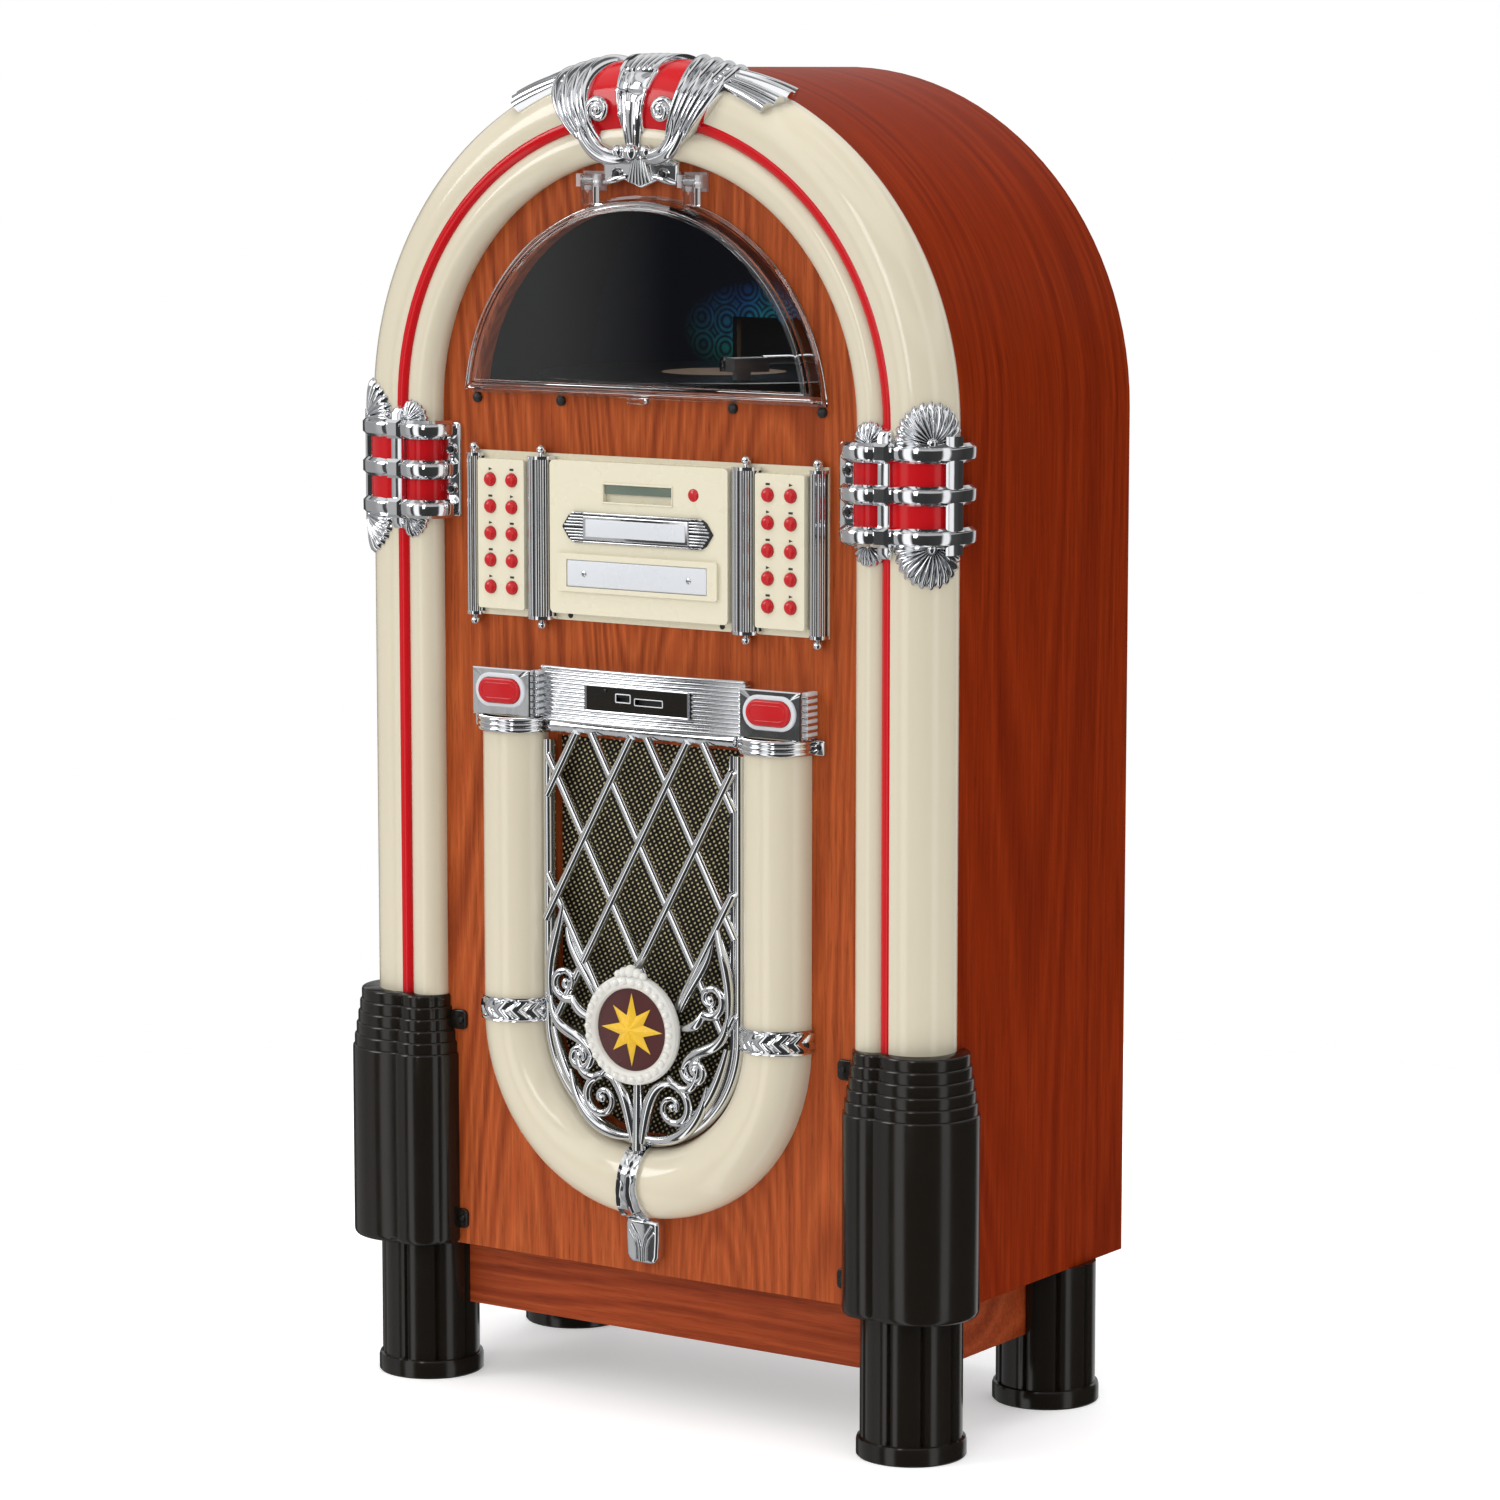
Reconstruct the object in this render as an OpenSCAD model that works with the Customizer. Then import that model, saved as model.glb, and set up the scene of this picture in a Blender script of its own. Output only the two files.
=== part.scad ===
// Floor-standing jukebox: arched wooden cabinet, twin-lobed cream moulding, chrome fittings,
// record deck behind a hinged clear window, disc tray, push buttons and a speaker grille.
// Millimetres, +Z up, front towards -Y, origin at the middle of the footprint on the floor.
// Depths named f are measured forwards from the face of the front panel.

/* [Cabinet] */
// Half width of the cabinet and radius of its round top
cab_r = 269; // [266:1:270]
// Height of the centre of the round top
arch_z = 799.5; // [799:0.5:801]
// Height of the underside of the cabinet
base_z = 115; // [112:1:117]
// Depth from the panel's face to the back edge of the shell
cab_d = 285; // [285:1:290]
// Position of the face of the front panel
face_y = -128; // [-132:1:-124]
// Thickness of the bent shell and of the bottom board
shell_t = 12; // [9:1:14]
// Thickness of the front panel
panel_t = 12; // [10:1:13]
// Thickness of the hardboard back
back_t = 3; // [2:0.5:4]

/* [Legs] */
// Radius of a leg
leg_r = 41; // [38:0.5:42]
// Radius of the ring round the foot
foot_r = 43.3; // [43:0.1:45]
// Height of the foot ring
foot_h = 15; // [10:1:20]
// Sideways place of the legs
leg_x = 235.2; // [232:0.2:238]
// Height of the underside of the plinth
plinth_z = 60.5; // [50:0.5:80]

/* [Moulding] */
// Sideways place of the inner lobe
lobe_in_x = 214.5; // [213:0.5:216]
// Radius of the inner lobe
lobe_in_r = 15; // [14:0.5:15.5]
// Sideways place of the outer lobe
lobe_out_x = 243.5; // [242:0.5:245]
// Radius of the outer lobe
lobe_out_r = 30; // [29:0.5:31]
// Radius of the red bead between the lobes
bead_r = 6.5; // [5:0.5:7]
// Height of the middle of the clamps
clamp_z = 749; // [740:1:755]
// Distance between neighbouring clamp rings
ring_pitch = 31.8; // [30:0.2:34]

/* [Window] */
// Outer radius of the clear cover
cover_r = 170.5; // [168:0.5:172]
// Height of the cover's bottom edge
cover_z = 812; // [811:0.5:813]
// Depth of the cover in front of the panel
cover_f = 18.5; // [18:0.5:20]
// Wall of the cover
cover_t = 2.5; // [2:0.5:3]

/* [Record deck] */
// Sideways place of the spindle
spindle_x = -20; // [-24:1:-16]
// Radius of a record
record_r = 150; // [87:1:150]
// Height of the top of the record
record_z = 826; // [825:0.5:828]

/* [Controls] */
// Radius of a round push button
button_r = 5.4; // [4.5:0.1:5.8]
// Distance between rows of buttons
button_pitch = 21.4; // [20:0.1:22]
// Half width of the disc tray's door
door_w = 67; // [64:0.5:69]

/* [Grille] */
// Radius on which the cream grille tube runs
tube_c = 126; // [125:0.5:127]
// Radius of the grille tube
tube_r = 29; // [28:0.5:30]
// Height of the centre of the round bottom of the grille
grille_z = 316; // [314:0.5:318]
// Sideways distance between crossings of the lattice
cell_w = 57; // [50:1:64]
// Height of half a lattice diamond
cell_h = 51; // [46:1:56]

/* [Hidden] */
$fn = 64;
arc_fn = 160;

gap = 0.3;
back_y = face_y + cab_d;
inner_r = cab_r - shell_t;
floor_z = base_z + shell_t;

// moulding section, in sideways place and depth f
lobe_in_f = 2.5;
lobe_out_f = -14;
bead_x = 232;
bead_f = 9;
sleeve_t = 2.5;
sleeve_h = 2 * ring_pitch + 10;

// legs and plinth
leg_front_y = -108.2;
leg_back_y = 94.4;
flutes = 9;
flute_turn = 25;
flute_d = 1.6;
flute_w = 3;
plinth_x = 239;
plinth_front_y = -107.4;
plinth_back_y = 60.8;
plinth_t = 12;

// corner boots
boot_top_z = 321;
boot_floor = 4;
boot_back = [214.5, 2.5, 25];
boot_in = [219.5, 8, 26];
boot_out = [250, -10, 45];
boot_steps = 5;
boot_step_h = 9.5;
boot_step_in = 1.55;

// clamps
clamp_in = [212, 3, 26];
clamp_out = [247, -17, 38.5];
ring_h = 15;
groove_bar_w = 11;
groove_bar_f = 27;
tab_x0 = 182;
tab_x1 = 197;
tab_t = 2.5;
fan_steps = 4;
rest_gap = 0.1;

// crest on top of the arch
dome = [238, -19, 38];
dome_half = 9;
crest_t = 4;
crest_top_r = dome[0] + dome[2] + crest_t;
wing_start = 12;
wing_end = 18;
tail_end = 29.5;
bow_x = 36;
bow_z0 = 974;
bow_z1 = 1000;
bow_f = 10;
volute_x = 30.5;
volute_z = 1035;

// window, cover and hinge
hole_r = 163;
hole_z = 818;
axis_z = 981;
axis_f = 8;
ear_x0 = 42;
ear_x1 = 54;
hinge_pin_r = 2;
pin_gap = 0.05;

// control unit
unit_x = 171;
unit_z0 = 634.5;
unit_z1 = 766;
unit_t = 2;
pod_x0 = 110.5;
pod_x1 = 156;
pod_z0 = 641;
pod_z1 = 760;
pod_f = 13;
centre_x = 85;
frame_x = 76.5;
frame_z0 = 659;
frame_z1 = 689;
frame_f = 15.5;
door_z0 = 663;
door_z1 = 684;
door_f = 14.5;
top_row_z = 743.7;
button_cols = [143.5, 122.4];
button_f0 = 4.5;
button_f1 = 15.5;
button_dome = 1.5;
pillar_in = [97.9, 5, 12];
pillar_out = [164.1, 5, 7.2];
finial_r = 4.6;
display_x = 32.5;
display_z0 = 731;
display_z1 = 744.5;
lens_x = 53;
lens_z = 740;
lens_r = 5;
badge_z = 710;

// grille head: corner blocks, bar and sockets
block_x0 = 98;
block_x1 = 158;
block_z0 = 556;
block_z1 = 594;
block_f = 20;
oval_x = 129;
oval_z = 576.5;
oval_w = 20.5;
oval_h = 10;
bezel_rim = 4;
bezel_f = 21.5;
oval_f = 24;
bar_z1 = 597.5;
bar_f = 15;
bar_sag = 7;
bar_r = (block_x0 * block_x0 + bar_sag * bar_sag) / (2 * bar_sag);
bar_ribs = 10;
lip_z0 = 545;
socket_x = 49.5;
socket_z0 = 565.5;
socket_z1 = 586;
band_t = 4;
band_h = 19;
lattice_rim_f = 10;
opening_r = 88;
opening_top = 542;
badge_r = 44;
star_r = 28;
star_points = 8;

// insides
deck_z1 = 806;
deck_t = 12;
spindle_y = 8;
spindle_r = 3.6;
bearing_r = 4;
platter_r = 120;
platter_z0 = 812;
motor_r = 45;
pivot = [150, 67];
arm_len = 179;
arm_angle = 30;
arm_z = 842;
turret_r = 17;

// screws: sideways place, height and depth f of the surface that each head sits on
screw_head_r = 2.6;
screw_head_h = 1.5;
screw_r = 1.5;
screw_len = 9;
boot_tab_z = [301, 136];
panel_screws = [
    [189.5, clamp_z + ring_pitch / 2, tab_t], [189.5, clamp_z - ring_pitch / 2, tab_t],
    [185, boot_tab_z[0], tab_t], [185, boot_tab_z[1], tab_t],
    [72.8, 638.3, unit_t], [22, 986, bow_f], [163, 550.5, tab_t]];

// ---- helpers -------------------------------------------------------------------------------

// an outline in the X-Z plane, extruded from depth f0 to depth f1 in front of the panel's face
module slab(f0, f1) {
    translate([0, face_y - f0, 0])
        rotate([90, 0, 0])
            linear_extrude(f1 - f0)
                children();
}

// a section drawn in sideways place and depth, run straight up from z0 to z1
module upright(z0, z1) {
    translate([0, face_y, z0])
        linear_extrude(z1 - z0)
            mirror([0, 1])
                children();
}

// a section drawn in radius and depth, swept about a centre in the panel's face
module sweep_about(z, a0, a1) {
    translate([0, face_y, z])
        rotate([90, 0, 0])
            rotate([0, 0, a0])
                rotate_extrude(angle = a1 - a0, $fn = arc_fn)
                    children();
}

module both_sides() {
    children();
    mirror([1, 0, 0]) children();
}

module box2(x0, z0, x1, z1) {
    translate([x0, z0]) square([x1 - x0, z1 - z0]);
}

module disc(p) {
    translate([p[0], p[1]]) circle(p[2]);
}

// a rectangle with round corners
module round_box(x0, z0, x1, z1, r) {
    box2(x0 + r, z0, x1 - r, z1);
    box2(x0, z0 + r, x1, z1 - r);
    for (x = [x0 + r, x1 - r], z = [z0 + r, z1 - r]) translate([x, z]) circle(r);
}

module stadium(x, z, w, h) {
    box2(x - w + h, z - h, x + w - h, z + h);
    for (s = [-1, 1]) translate([x + s * (w - h), z]) circle(h);
}

// the cabinet's outline: a round top on a straight-sided body
module arch_2d(r, z0) {
    translate([0, arch_z]) circle(r, $fn = arc_fn);
    box2(-r, z0, r, arch_z);
}

// the corner of the cabinet, in sideways place and depth
module cabinet_corner() {
    box2(0, -cab_d, cab_r, 0);
}

module lobes(grow) {
    disc([lobe_in_x, lobe_in_f, lobe_in_r + grow]);
    disc([lobe_out_x, lobe_out_f, lobe_out_r + grow]);
}

module bead_2d() {
    disc([bead_x, bead_f, bead_r]);
}

module moulding_2d() {
    difference() {
        lobes(0);
        cabinet_corner();
        bead_2d();
    }
}

module sleeve_2d() {
    difference() {
        lobes(sleeve_t);
        cabinet_corner();
        lobes(0);
        bead_2d();
    }
}

module screw_holes() {
    both_sides()
        for (s = panel_screws)
            translate([s[0], face_y + screw_len - s[2], s[1]])
                rotate([90, 0, 0]) cylinder(r = screw_r, h = screw_len, $fn = 24);
}

// ---- cabinet -------------------------------------------------------------------------------

module cabinet_shell() {
    color("sienna")
        slab(-cab_d, -panel_t)
            difference() {
                arch_2d(cab_r, base_z);
                arch_2d(inner_r, floor_z);
            }
}

module grille_opening(r) {
    translate([0, grille_z]) circle(r);
    box2(-r, grille_z, r, opening_top);
}

module window_hole() {
    intersection() {
        translate([0, arch_z]) circle(hole_r, $fn = arc_fn);
        box2(-hole_r, hole_z, hole_r, arch_z + hole_r);
    }
}

module front_panel() {
    color("chocolate")
        difference() {
            slab(-panel_t, 0)
                difference() {
                    arch_2d(cab_r, base_z);
                    window_hole();
                    box2(-centre_x + 5, frame_z0 - 6, centre_x - 5, frame_z1 + 8);
                    grille_opening(opening_r);
                }
            screw_holes();
        }
}

// hardboard back with vents and a pressed bulge that clears the edge of a record
bulge_x = 90;
bulge_z0 = 808;
bulge_z1 = 862;
bulge_d = 6;
vent_w = 120;
vent_h = 6;
vent_count = 6;
inlet_x = 140;
inlet_z = 190;
inlet_w = 26;
inlet_h = 18;

module back_panel() {
    color("saddlebrown")
        union() {
            slab(-cab_d, -cab_d + back_t)
                difference() {
                    arch_2d(inner_r, floor_z);
                    box2(spindle_x - bulge_x + back_t, bulge_z0 + back_t,
                         spindle_x + bulge_x - back_t, bulge_z1 - back_t);
                    for (i = [0:vent_count - 1], z = [320, 600])
                        stadium(0, z + i * 3 * vent_h, vent_w, vent_h / 2);
                    box2(inlet_x - inlet_w, inlet_z - inlet_h, inlet_x + inlet_w, inlet_z + inlet_h);
                }
            difference() {
                slab(-cab_d - bulge_d, -cab_d)
                    round_box(spindle_x - bulge_x, bulge_z0, spindle_x + bulge_x, bulge_z1, 3);
                slab(-cab_d - bulge_d + back_t, -cab_d)
                    box2(spindle_x - bulge_x + back_t, bulge_z0 + back_t,
                         spindle_x + bulge_x - back_t, bulge_z1 - back_t);
            }
        }
}

module plinth_block(inset) {
    translate([-plinth_x + inset, plinth_front_y + inset, plinth_z])
        cube([2 * (plinth_x - inset), plinth_back_y - plinth_front_y - 2 * inset, base_z - plinth_z]);
}

module plinth() {
    color("sienna")
        difference() {
            plinth_block(0);
            translate([0, 0, -1]) plinth_block(plinth_t);
            translate([0, 0, 1]) plinth_block(plinth_t);
        }
}

// a turned leg with straight grooves, notched for the plinth
module leg(x, y) {
    difference() {
        translate([x, y, 0])
            union() {
                cylinder(r = foot_r, h = foot_h);
                translate([0, 0, foot_h])
                    linear_extrude(base_z - foot_h)
                        difference() {
                            circle(leg_r);
                            for (i = [0:flutes - 1])
                                rotate(i * 360 / flutes + flute_turn)
                                    translate([leg_r, 0]) square([2 * flute_d, flute_w], center = true);
                        }
            }
        plinth_block(0);
    }
}

module legs() {
    color("black")
        both_sides() {
            leg(leg_x, leg_front_y);
            leg(leg_x, leg_back_y);
        }
}

// ---- moulding, bead, boots and clamps ------------------------------------------------------

module columns() {
    color("ivory")
        both_sides() upright(base_z + boot_floor, clamp_z) moulding_2d();
}

module arch_moulding() {
    color("ivory")
        union() {
            sweep_about(arch_z, 0, 180) moulding_2d();
            both_sides() upright(clamp_z, arch_z) moulding_2d();
        }
}

module red_trim() {
    color("red") {
        union() {
            sweep_about(arch_z, 0, 180) bead_2d();
            both_sides() upright(clamp_z + sleeve_h / 2, arch_z) bead_2d();
        }
        both_sides() upright(base_z + boot_floor, clamp_z - sleeve_h / 2) bead_2d();
        both_sides() upright(clamp_z - sleeve_h / 2, clamp_z + sleeve_h / 2) sleeve_2d();
        sweep_about(arch_z, 90 - wing_start, 90 + wing_start) dome_2d();
    }
}

module boot_2d(shrink) {
    for (b = [boot_back, boot_in, boot_out]) disc([b[0], b[1], b[2] - shrink]);
}

module corner_boots() {
    straight_z = boot_top_z - boot_steps * boot_step_h;
    color("black")
        difference() {
            both_sides() {
                difference() {
                    union() {
                        upright(base_z, straight_z) boot_2d(0);
                        for (i = [1:boot_steps])
                            upright(straight_z + (i - 1) * boot_step_h, straight_z + i * boot_step_h)
                                boot_2d(boot_step_in * i);
                        for (z = boot_tab_z)
                            upright(z - 8, z + 8) box2(tab_x0 - 2, 0, tab_x1, tab_t);
                    }
                    upright(base_z - 1, boot_top_z + 1) cabinet_corner();
                    upright(base_z + boot_floor, boot_top_z + 1) {
                        lobes(0);
                        bead_2d();
                    }
                }
            }
            screw_holes();
        }
}

module clamp_2d(shrink) {
    disc([clamp_in[0], clamp_in[1], clamp_in[2] - shrink]);
    disc([clamp_out[0], clamp_out[1], clamp_out[2] - shrink]);
    box2(bead_x - groove_bar_w / 2, 0, bead_x + groove_bar_w / 2, groove_bar_f - shrink);
}

// a scallop shell lying on a lobe beside the end ring, in steps that narrow away from it
module fan(lobe, skin, dir, r, s) {
    z0 = clamp_z + s * (ring_pitch + ring_h / 2 + rest_gap);
    step = r / fan_steps;
    for (i = [0:fan_steps - 1]) {
        half = acos(i / fan_steps) * r / (lobe[2] + skin) * 0.64;
        far = 2 * (lobe[2] + skin);
        za = z0 + s * i * step;
        upright(min(za, za + s * step), max(za, za + s * step))
            intersection() {
                difference() {
                    disc([lobe[0], lobe[1], lobe[2] + skin]);
                    disc(lobe);
                }
                translate([lobe[0], lobe[1]])
                    polygon([[0, 0], far * [cos(dir - half), sin(dir - half)], far * [cos(dir), sin(dir)],
                             far * [cos(dir + half), sin(dir + half)]]);
            }
    }
}

module clamp() {
    ring_zs = [for (i = [-1:1]) clamp_z + i * ring_pitch];
    difference() {
        union() {
            for (z = ring_zs) {
                upright(z - ring_h / 2, z + ring_h / 2) clamp_2d(2);
                upright(z - ring_h / 2 + 2, z + ring_h / 2 - 2) clamp_2d(0);
            }
            upright(clamp_z - sleeve_h / 2 - 13, clamp_z + sleeve_h / 2 + 13)
                box2(bead_x - groove_bar_w / 2, 0, bead_x + groove_bar_w / 2, groove_bar_f - 3);
            upright(clamp_z - ring_pitch, clamp_z + ring_pitch) {
                box2(tab_x0, 0, tab_x1, tab_t);
                box2(cab_r, -44, cab_r + 3, -25);
            }
        }
        upright(base_z, arch_z) cabinet_corner();
        upright(clamp_z - sleeve_h / 2, clamp_z + sleeve_h / 2) lobes(sleeve_t);
        upright(base_z, arch_z) {
            lobes(0);
            bead_2d();
        }
    }
    for (s = [-1, 1]) {
        fan([lobe_out_x, lobe_out_f, lobe_out_r], 3.5, 45, 30, s);
        fan([lobe_in_x, lobe_in_f, lobe_in_r], 3, 100, 13, s);
    }
}

module clamps() {
    color("silver")
        difference() {
            both_sides() clamp();
            screw_holes();
        }
}

// ---- crest ---------------------------------------------------------------------------------

module dome_2d() {
    difference() {
        disc(dome);
        cabinet_corner();
        lobes(0);
        bead_2d();
    }
}

module crest_skin_2d() {
    difference() {
        disc([dome[0], dome[1], dome[2] + crest_t]);
        cabinet_corner();
        disc(dome);
        lobes(0);
    }
}

// the crest's skin also covers the moulding beside the dome
module wing_2d() {
    difference() {
        disc([dome[0], dome[1], dome[2] + crest_t]);
        cabinet_corner();
        lobes(0);
        bead_2d();
    }
}

module crest() {
    color("silver")
        difference() {
            union() {
                intersection() {
                    sweep_about(arch_z, 90 - wing_start, 90 + wing_start) crest_skin_2d();
                    slab(-60, 60)
                        polygon([[-12, 990], [12, 990], [13, 1045], [28, 1090], [-28, 1090], [-13, 1045]]);
                }
                both_sides() {
                    sweep_about(arch_z, 90 - wing_end, 90 - wing_start) wing_2d();
                    intersection() {
                        sweep_about(arch_z, 90 - tail_end, 90 - wing_end) wing_2d();
                        slab(-60, 24) box2(0, 1020, 150, 1090);
                    }
                    difference() {
                        union() {
                            slab(12, 21) disc([volute_x, volute_z, 9]);
                            slab(17.8, 20.8)
                                polygon([[8, 998], [30, 1006], [60, 1026], [57, 1036], [48, 1033], [30, 1026],
                                         [20, 1016], [8, 1009]]);
                        }
                        sweep_about(arch_z, 60, 120) disc(dome);
                    }
                }
                difference() {
                    union() {
                        slab(0, bow_f) {
                            polygon([[-bow_x, bow_z0 + 3], [-16, bow_z0 + 6], [0, bow_z0], [16, bow_z0 + 6],
                                     [bow_x, bow_z0 + 3], [bow_x, bow_z1 - 2], [18, bow_z1 + 9],
                                     [-18, bow_z1 + 9], [-bow_x, bow_z1 - 2]]);
                        }
                        slab(0, 20) box2(-22, 996, 22, 1012);
                        for (x = [-16, 0, 16])
                            translate([x, face_y - 18, 1004]) sphere(x == 0 ? 7.5 : 6);
                    }
                    sweep_about(arch_z, 60, 120) {
                        lobes(0);
                        bead_2d();
                        disc(dome);
                    }
                }
            }
            screw_holes();
        }
}

// ---- window cover --------------------------------------------------------------------------

module cover_2d(inset) {
    intersection() {
        translate([0, arch_z]) circle(cover_r - inset, $fn = arc_fn);
        box2(-cover_r, cover_z + inset, cover_r, arch_z + cover_r);
    }
}

module along_x(x0, x1, f, z, r) {
    translate([x0, face_y - f, z]) rotate([0, 90, 0]) cylinder(r = r, h = x1 - x0);
}

module window_cover() {
    ear_r = 4.5;
    color([0.85, 0.9, 0.92, 0.35])
        difference() {
            union() {
                difference() {
                    slab(1.5, cover_f) cover_2d(0);
                    slab(0, cover_f - cover_t) cover_2d(cover_t);
                }
                slab(8, 16) box2(-9, cover_z - 3.5, 9, cover_z + 1);
                both_sides() {
                    along_x(ear_x0, ear_x1, axis_f, axis_z, ear_r);
                    difference() {
                        slab(axis_f - ear_r, axis_f + ear_r) box2(ear_x0, 955, ear_x1, axis_z);
                        slab(0, cover_f) cover_2d(cover_t / 2);
                    }
                }
            }
            both_sides() along_x(ear_x0 - 1, ear_x1 + 1, axis_f, axis_z, hinge_pin_r + pin_gap);
        }
}

module hinge_brackets() {
    lug_w = 4;
    clear = 0.5;
    color("whitesmoke")
        both_sides()
            union() {
                slab(0, 2) box2(ear_x0 - clear - lug_w, 973, ear_x1 + clear + lug_w, 988);
                for (x = [ear_x0 - clear - lug_w, ear_x1 + clear])
                    slab(1, axis_f + 4) box2(x, 976, x + lug_w, 986);
                along_x(ear_x0 - clear - 1, ear_x1 + clear + 1, axis_f, axis_z, hinge_pin_r);
            }
}

// ---- control unit --------------------------------------------------------------------------

function button_x(i) = (i < 10 ? -1 : 1) * button_cols[(i < 10 ? i : i + 1) % 2];
function button_z(i) = top_row_z - floor((i % 10) / 2) * button_pitch;

module control_housing() {
    color("ivory")
        difference() {
            union() {
                slab(0, unit_t) box2(-unit_x, unit_z0, unit_x, unit_z1);
                slab(unit_t, pod_f) {
                    round_box(-centre_x, pod_z0, centre_x, pod_z1 + 2, 4);
                    for (s = [-1, 1])
                        translate([s * (pod_x0 + pod_x1) / 2, 0])
                            round_box(-(pod_x1 - pod_x0) / 2, pod_z0, (pod_x1 - pod_x0) / 2, pod_z1, 2);
                }
                slab(pod_f, frame_f) round_box(-frame_x, frame_z0, frame_x, frame_z1, 2);
            }
            slab(unit_t, frame_f + 1)
                for (i = [0:19]) translate([button_x(i), button_z(i)]) circle(button_r + gap);
            slab(-1, frame_f + 1)
                box2(-door_w - gap, door_z0 - gap, door_w + gap, door_z1 + gap);
            slab(9, frame_f) box2(-display_x, display_z0, display_x, display_z1);
            slab(9, frame_f) disc([lens_x, lens_z, lens_r]);
            screw_holes();
        }
}

module button(i) {
    color("crimson")
        translate([button_x(i), face_y - button_f0, button_z(i)])
            rotate([90, 0, 0])
                rotate_extrude() {
                    square([button_r, button_f1 - button_f0]);
                    polygon([[0, button_f1 - button_f0], [button_r, button_f1 - button_f0],
                             [button_r - button_dome, button_f1 - button_f0 + button_dome],
                             [0, button_f1 - button_f0 + button_dome]]);
                }
}

module pillar(p, ribs) {
    difference() {
        upright(unit_z0 + 1, unit_z1 - 1)
            difference() {
                disc(p);
                box2(0, -20, 200, unit_t);
                for (i = [0:ribs - 1])
                    translate([p[0], p[1]])
                        rotate([0, 0, (i + 0.5) * 180 / ribs])
                            translate([p[2], 0]) circle(0.8, $fn = 16);
            }
        slab(unit_t, pod_f + 3) box2(pod_x0 - gap, pod_z0, pod_x1 + gap, pod_z1);
        slab(unit_t, pod_f + 3) box2(0, pod_z0, centre_x + gap, pod_z1 + 2);
    }
    for (z = [unit_z0 - 1, unit_z1 + 1]) {
        translate([p[0], face_y - p[1] - 1, z]) sphere(finial_r);
    }
}

module reeded_pillars() {
    color("silver")
        both_sides() {
            difference() {
                union() {
                    pillar(pillar_in, 9);
                    pillar(pillar_out, 5);
                }
                slab(0, unit_t) box2(0, unit_z0, unit_x, unit_z1);
            }
        }
}

module display_lenses() {
    color("darkseagreen") slab(9, 12) box2(-display_x, display_z0, display_x, display_z1);
    color("firebrick") slab(9, pod_f + 0.6) disc([lens_x, lens_z, lens_r]);
}

module badge_plate() {
    color("gainsboro")
        union() {
            slab(pod_f, pod_f + 2)
                polygon([[-60, badge_z - 12.5], [60, badge_z - 12.5], [72, badge_z], [60, badge_z + 12.5],
                         [-60, badge_z + 12.5], [-72, badge_z]]);
            slab(pod_f + 2, pod_f + 4) box2(-50.5, badge_z - 9.5, 50.5, badge_z + 9.5);
        }
}

tray_z = 668;
tray_len = 148;
tray_w = 64.5;

module cd_tray() {
    color("gainsboro")
        difference() {
            union() {
                slab(door_f - 2, door_f) box2(-door_w, door_z0, door_w, door_z1);
                slab(door_f - 2 - tray_len, door_f - 2) box2(-tray_w, tray_z, tray_w, tray_z + 7);
            }
            translate([0, face_y + 64, tray_z + 3]) cylinder(r = 61, h = 10, $fn = 96);
            translate([0, face_y + 64, tray_z - 1]) cylinder(r = 17, h = 10);
        }
}

// sheet-metal drive that the tray runs in
module cd_mechanism() {
    w = 76;
    z0 = 656;
    z1 = 694;
    t = 1.5;
    color("gray")
        difference() {
            slab(-162, 0) box2(-w, z0, w, z1);
            slab(-160, 1) box2(-w + t, z0 + t, w - t, z1 - t);
            translate([0, face_y + 64, z1 - 3]) cylinder(r = 20, h = 6);
        }
}

// ---- grille --------------------------------------------------------------------------------

module tube_2d(r) {
    intersection() {
        disc([tube_c, 0, r]);
        box2(0, 0, tube_c + r, r);
    }
}

module grille_tube() {
    color("ivory")
        union() {
            sweep_about(grille_z, 180, 360) tube_2d(tube_r);
            both_sides() upright(grille_z, block_z0) tube_2d(tube_r);
        }
}

module ring_2d(clear) {
    difference() {
        tube_2d(tube_r + band_t);
        disc([tube_c, 0, tube_r + clear]);
        box2(0, -1, tube_c, lattice_rim_f + rest_gap);
    }
}

module tube_bands() {
    half_turn = asin(10 / tube_c);
    color("silver") {
        both_sides()
            upright(grille_z - 5, grille_z - 5 + band_h) ring_2d(gap);
        union() {
            sweep_about(grille_z, 270 - half_turn, 270 + half_turn) ring_2d(0);
            slab(0, 14)
                polygon([[-15, 160.5], [15, 160.5], [16, 158], [15, 130], [9, 124.5], [-9, 124.5],
                         [-15, 130], [-16, 158]]);
        }
    }
}

module corner_blocks() {
    color("silver")
        difference() {
            both_sides()
                union() {
                    difference() {
                        union() {
                            slab(0, block_f) round_box(block_x0, block_z0, block_x1, block_z1, 3);
                            slab(block_f, bezel_f)
                                stadium(oval_x, oval_z, oval_w + bezel_rim, oval_h + bezel_rim);
                            for (i = [0:4])
                                slab(0, block_f - 4)
                                    box2(block_x1, block_z0 + 3 + i * 7, block_x1 + 3, block_z0 + 7 + i * 7);
                        }
                        slab(4, bezel_f + 1) stadium(oval_x, oval_z, oval_w + gap, oval_h + gap);
                    }
                    upright(block_z0 - 12, block_z0) ring_2d(0);
                    slab(0, tab_t) {
                        box2(tube_c + tube_r + 2, block_z0 - 12, tube_c + tube_r + 13, block_z0);
                        box2(tube_c - tube_r - 8, block_z0 - 12, tube_c - tube_r - 2, block_z0);
                    }
                }
            screw_holes();
        }
}

module light_button(side) {
    color("crimson")
        union() {
            slab(8, oval_f - 1) stadium(side * oval_x, oval_z, oval_w, oval_h);
            slab(oval_f - 1, oval_f) stadium(side * oval_x, oval_z, oval_w - 1, oval_h - 1);
        }
}

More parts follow.
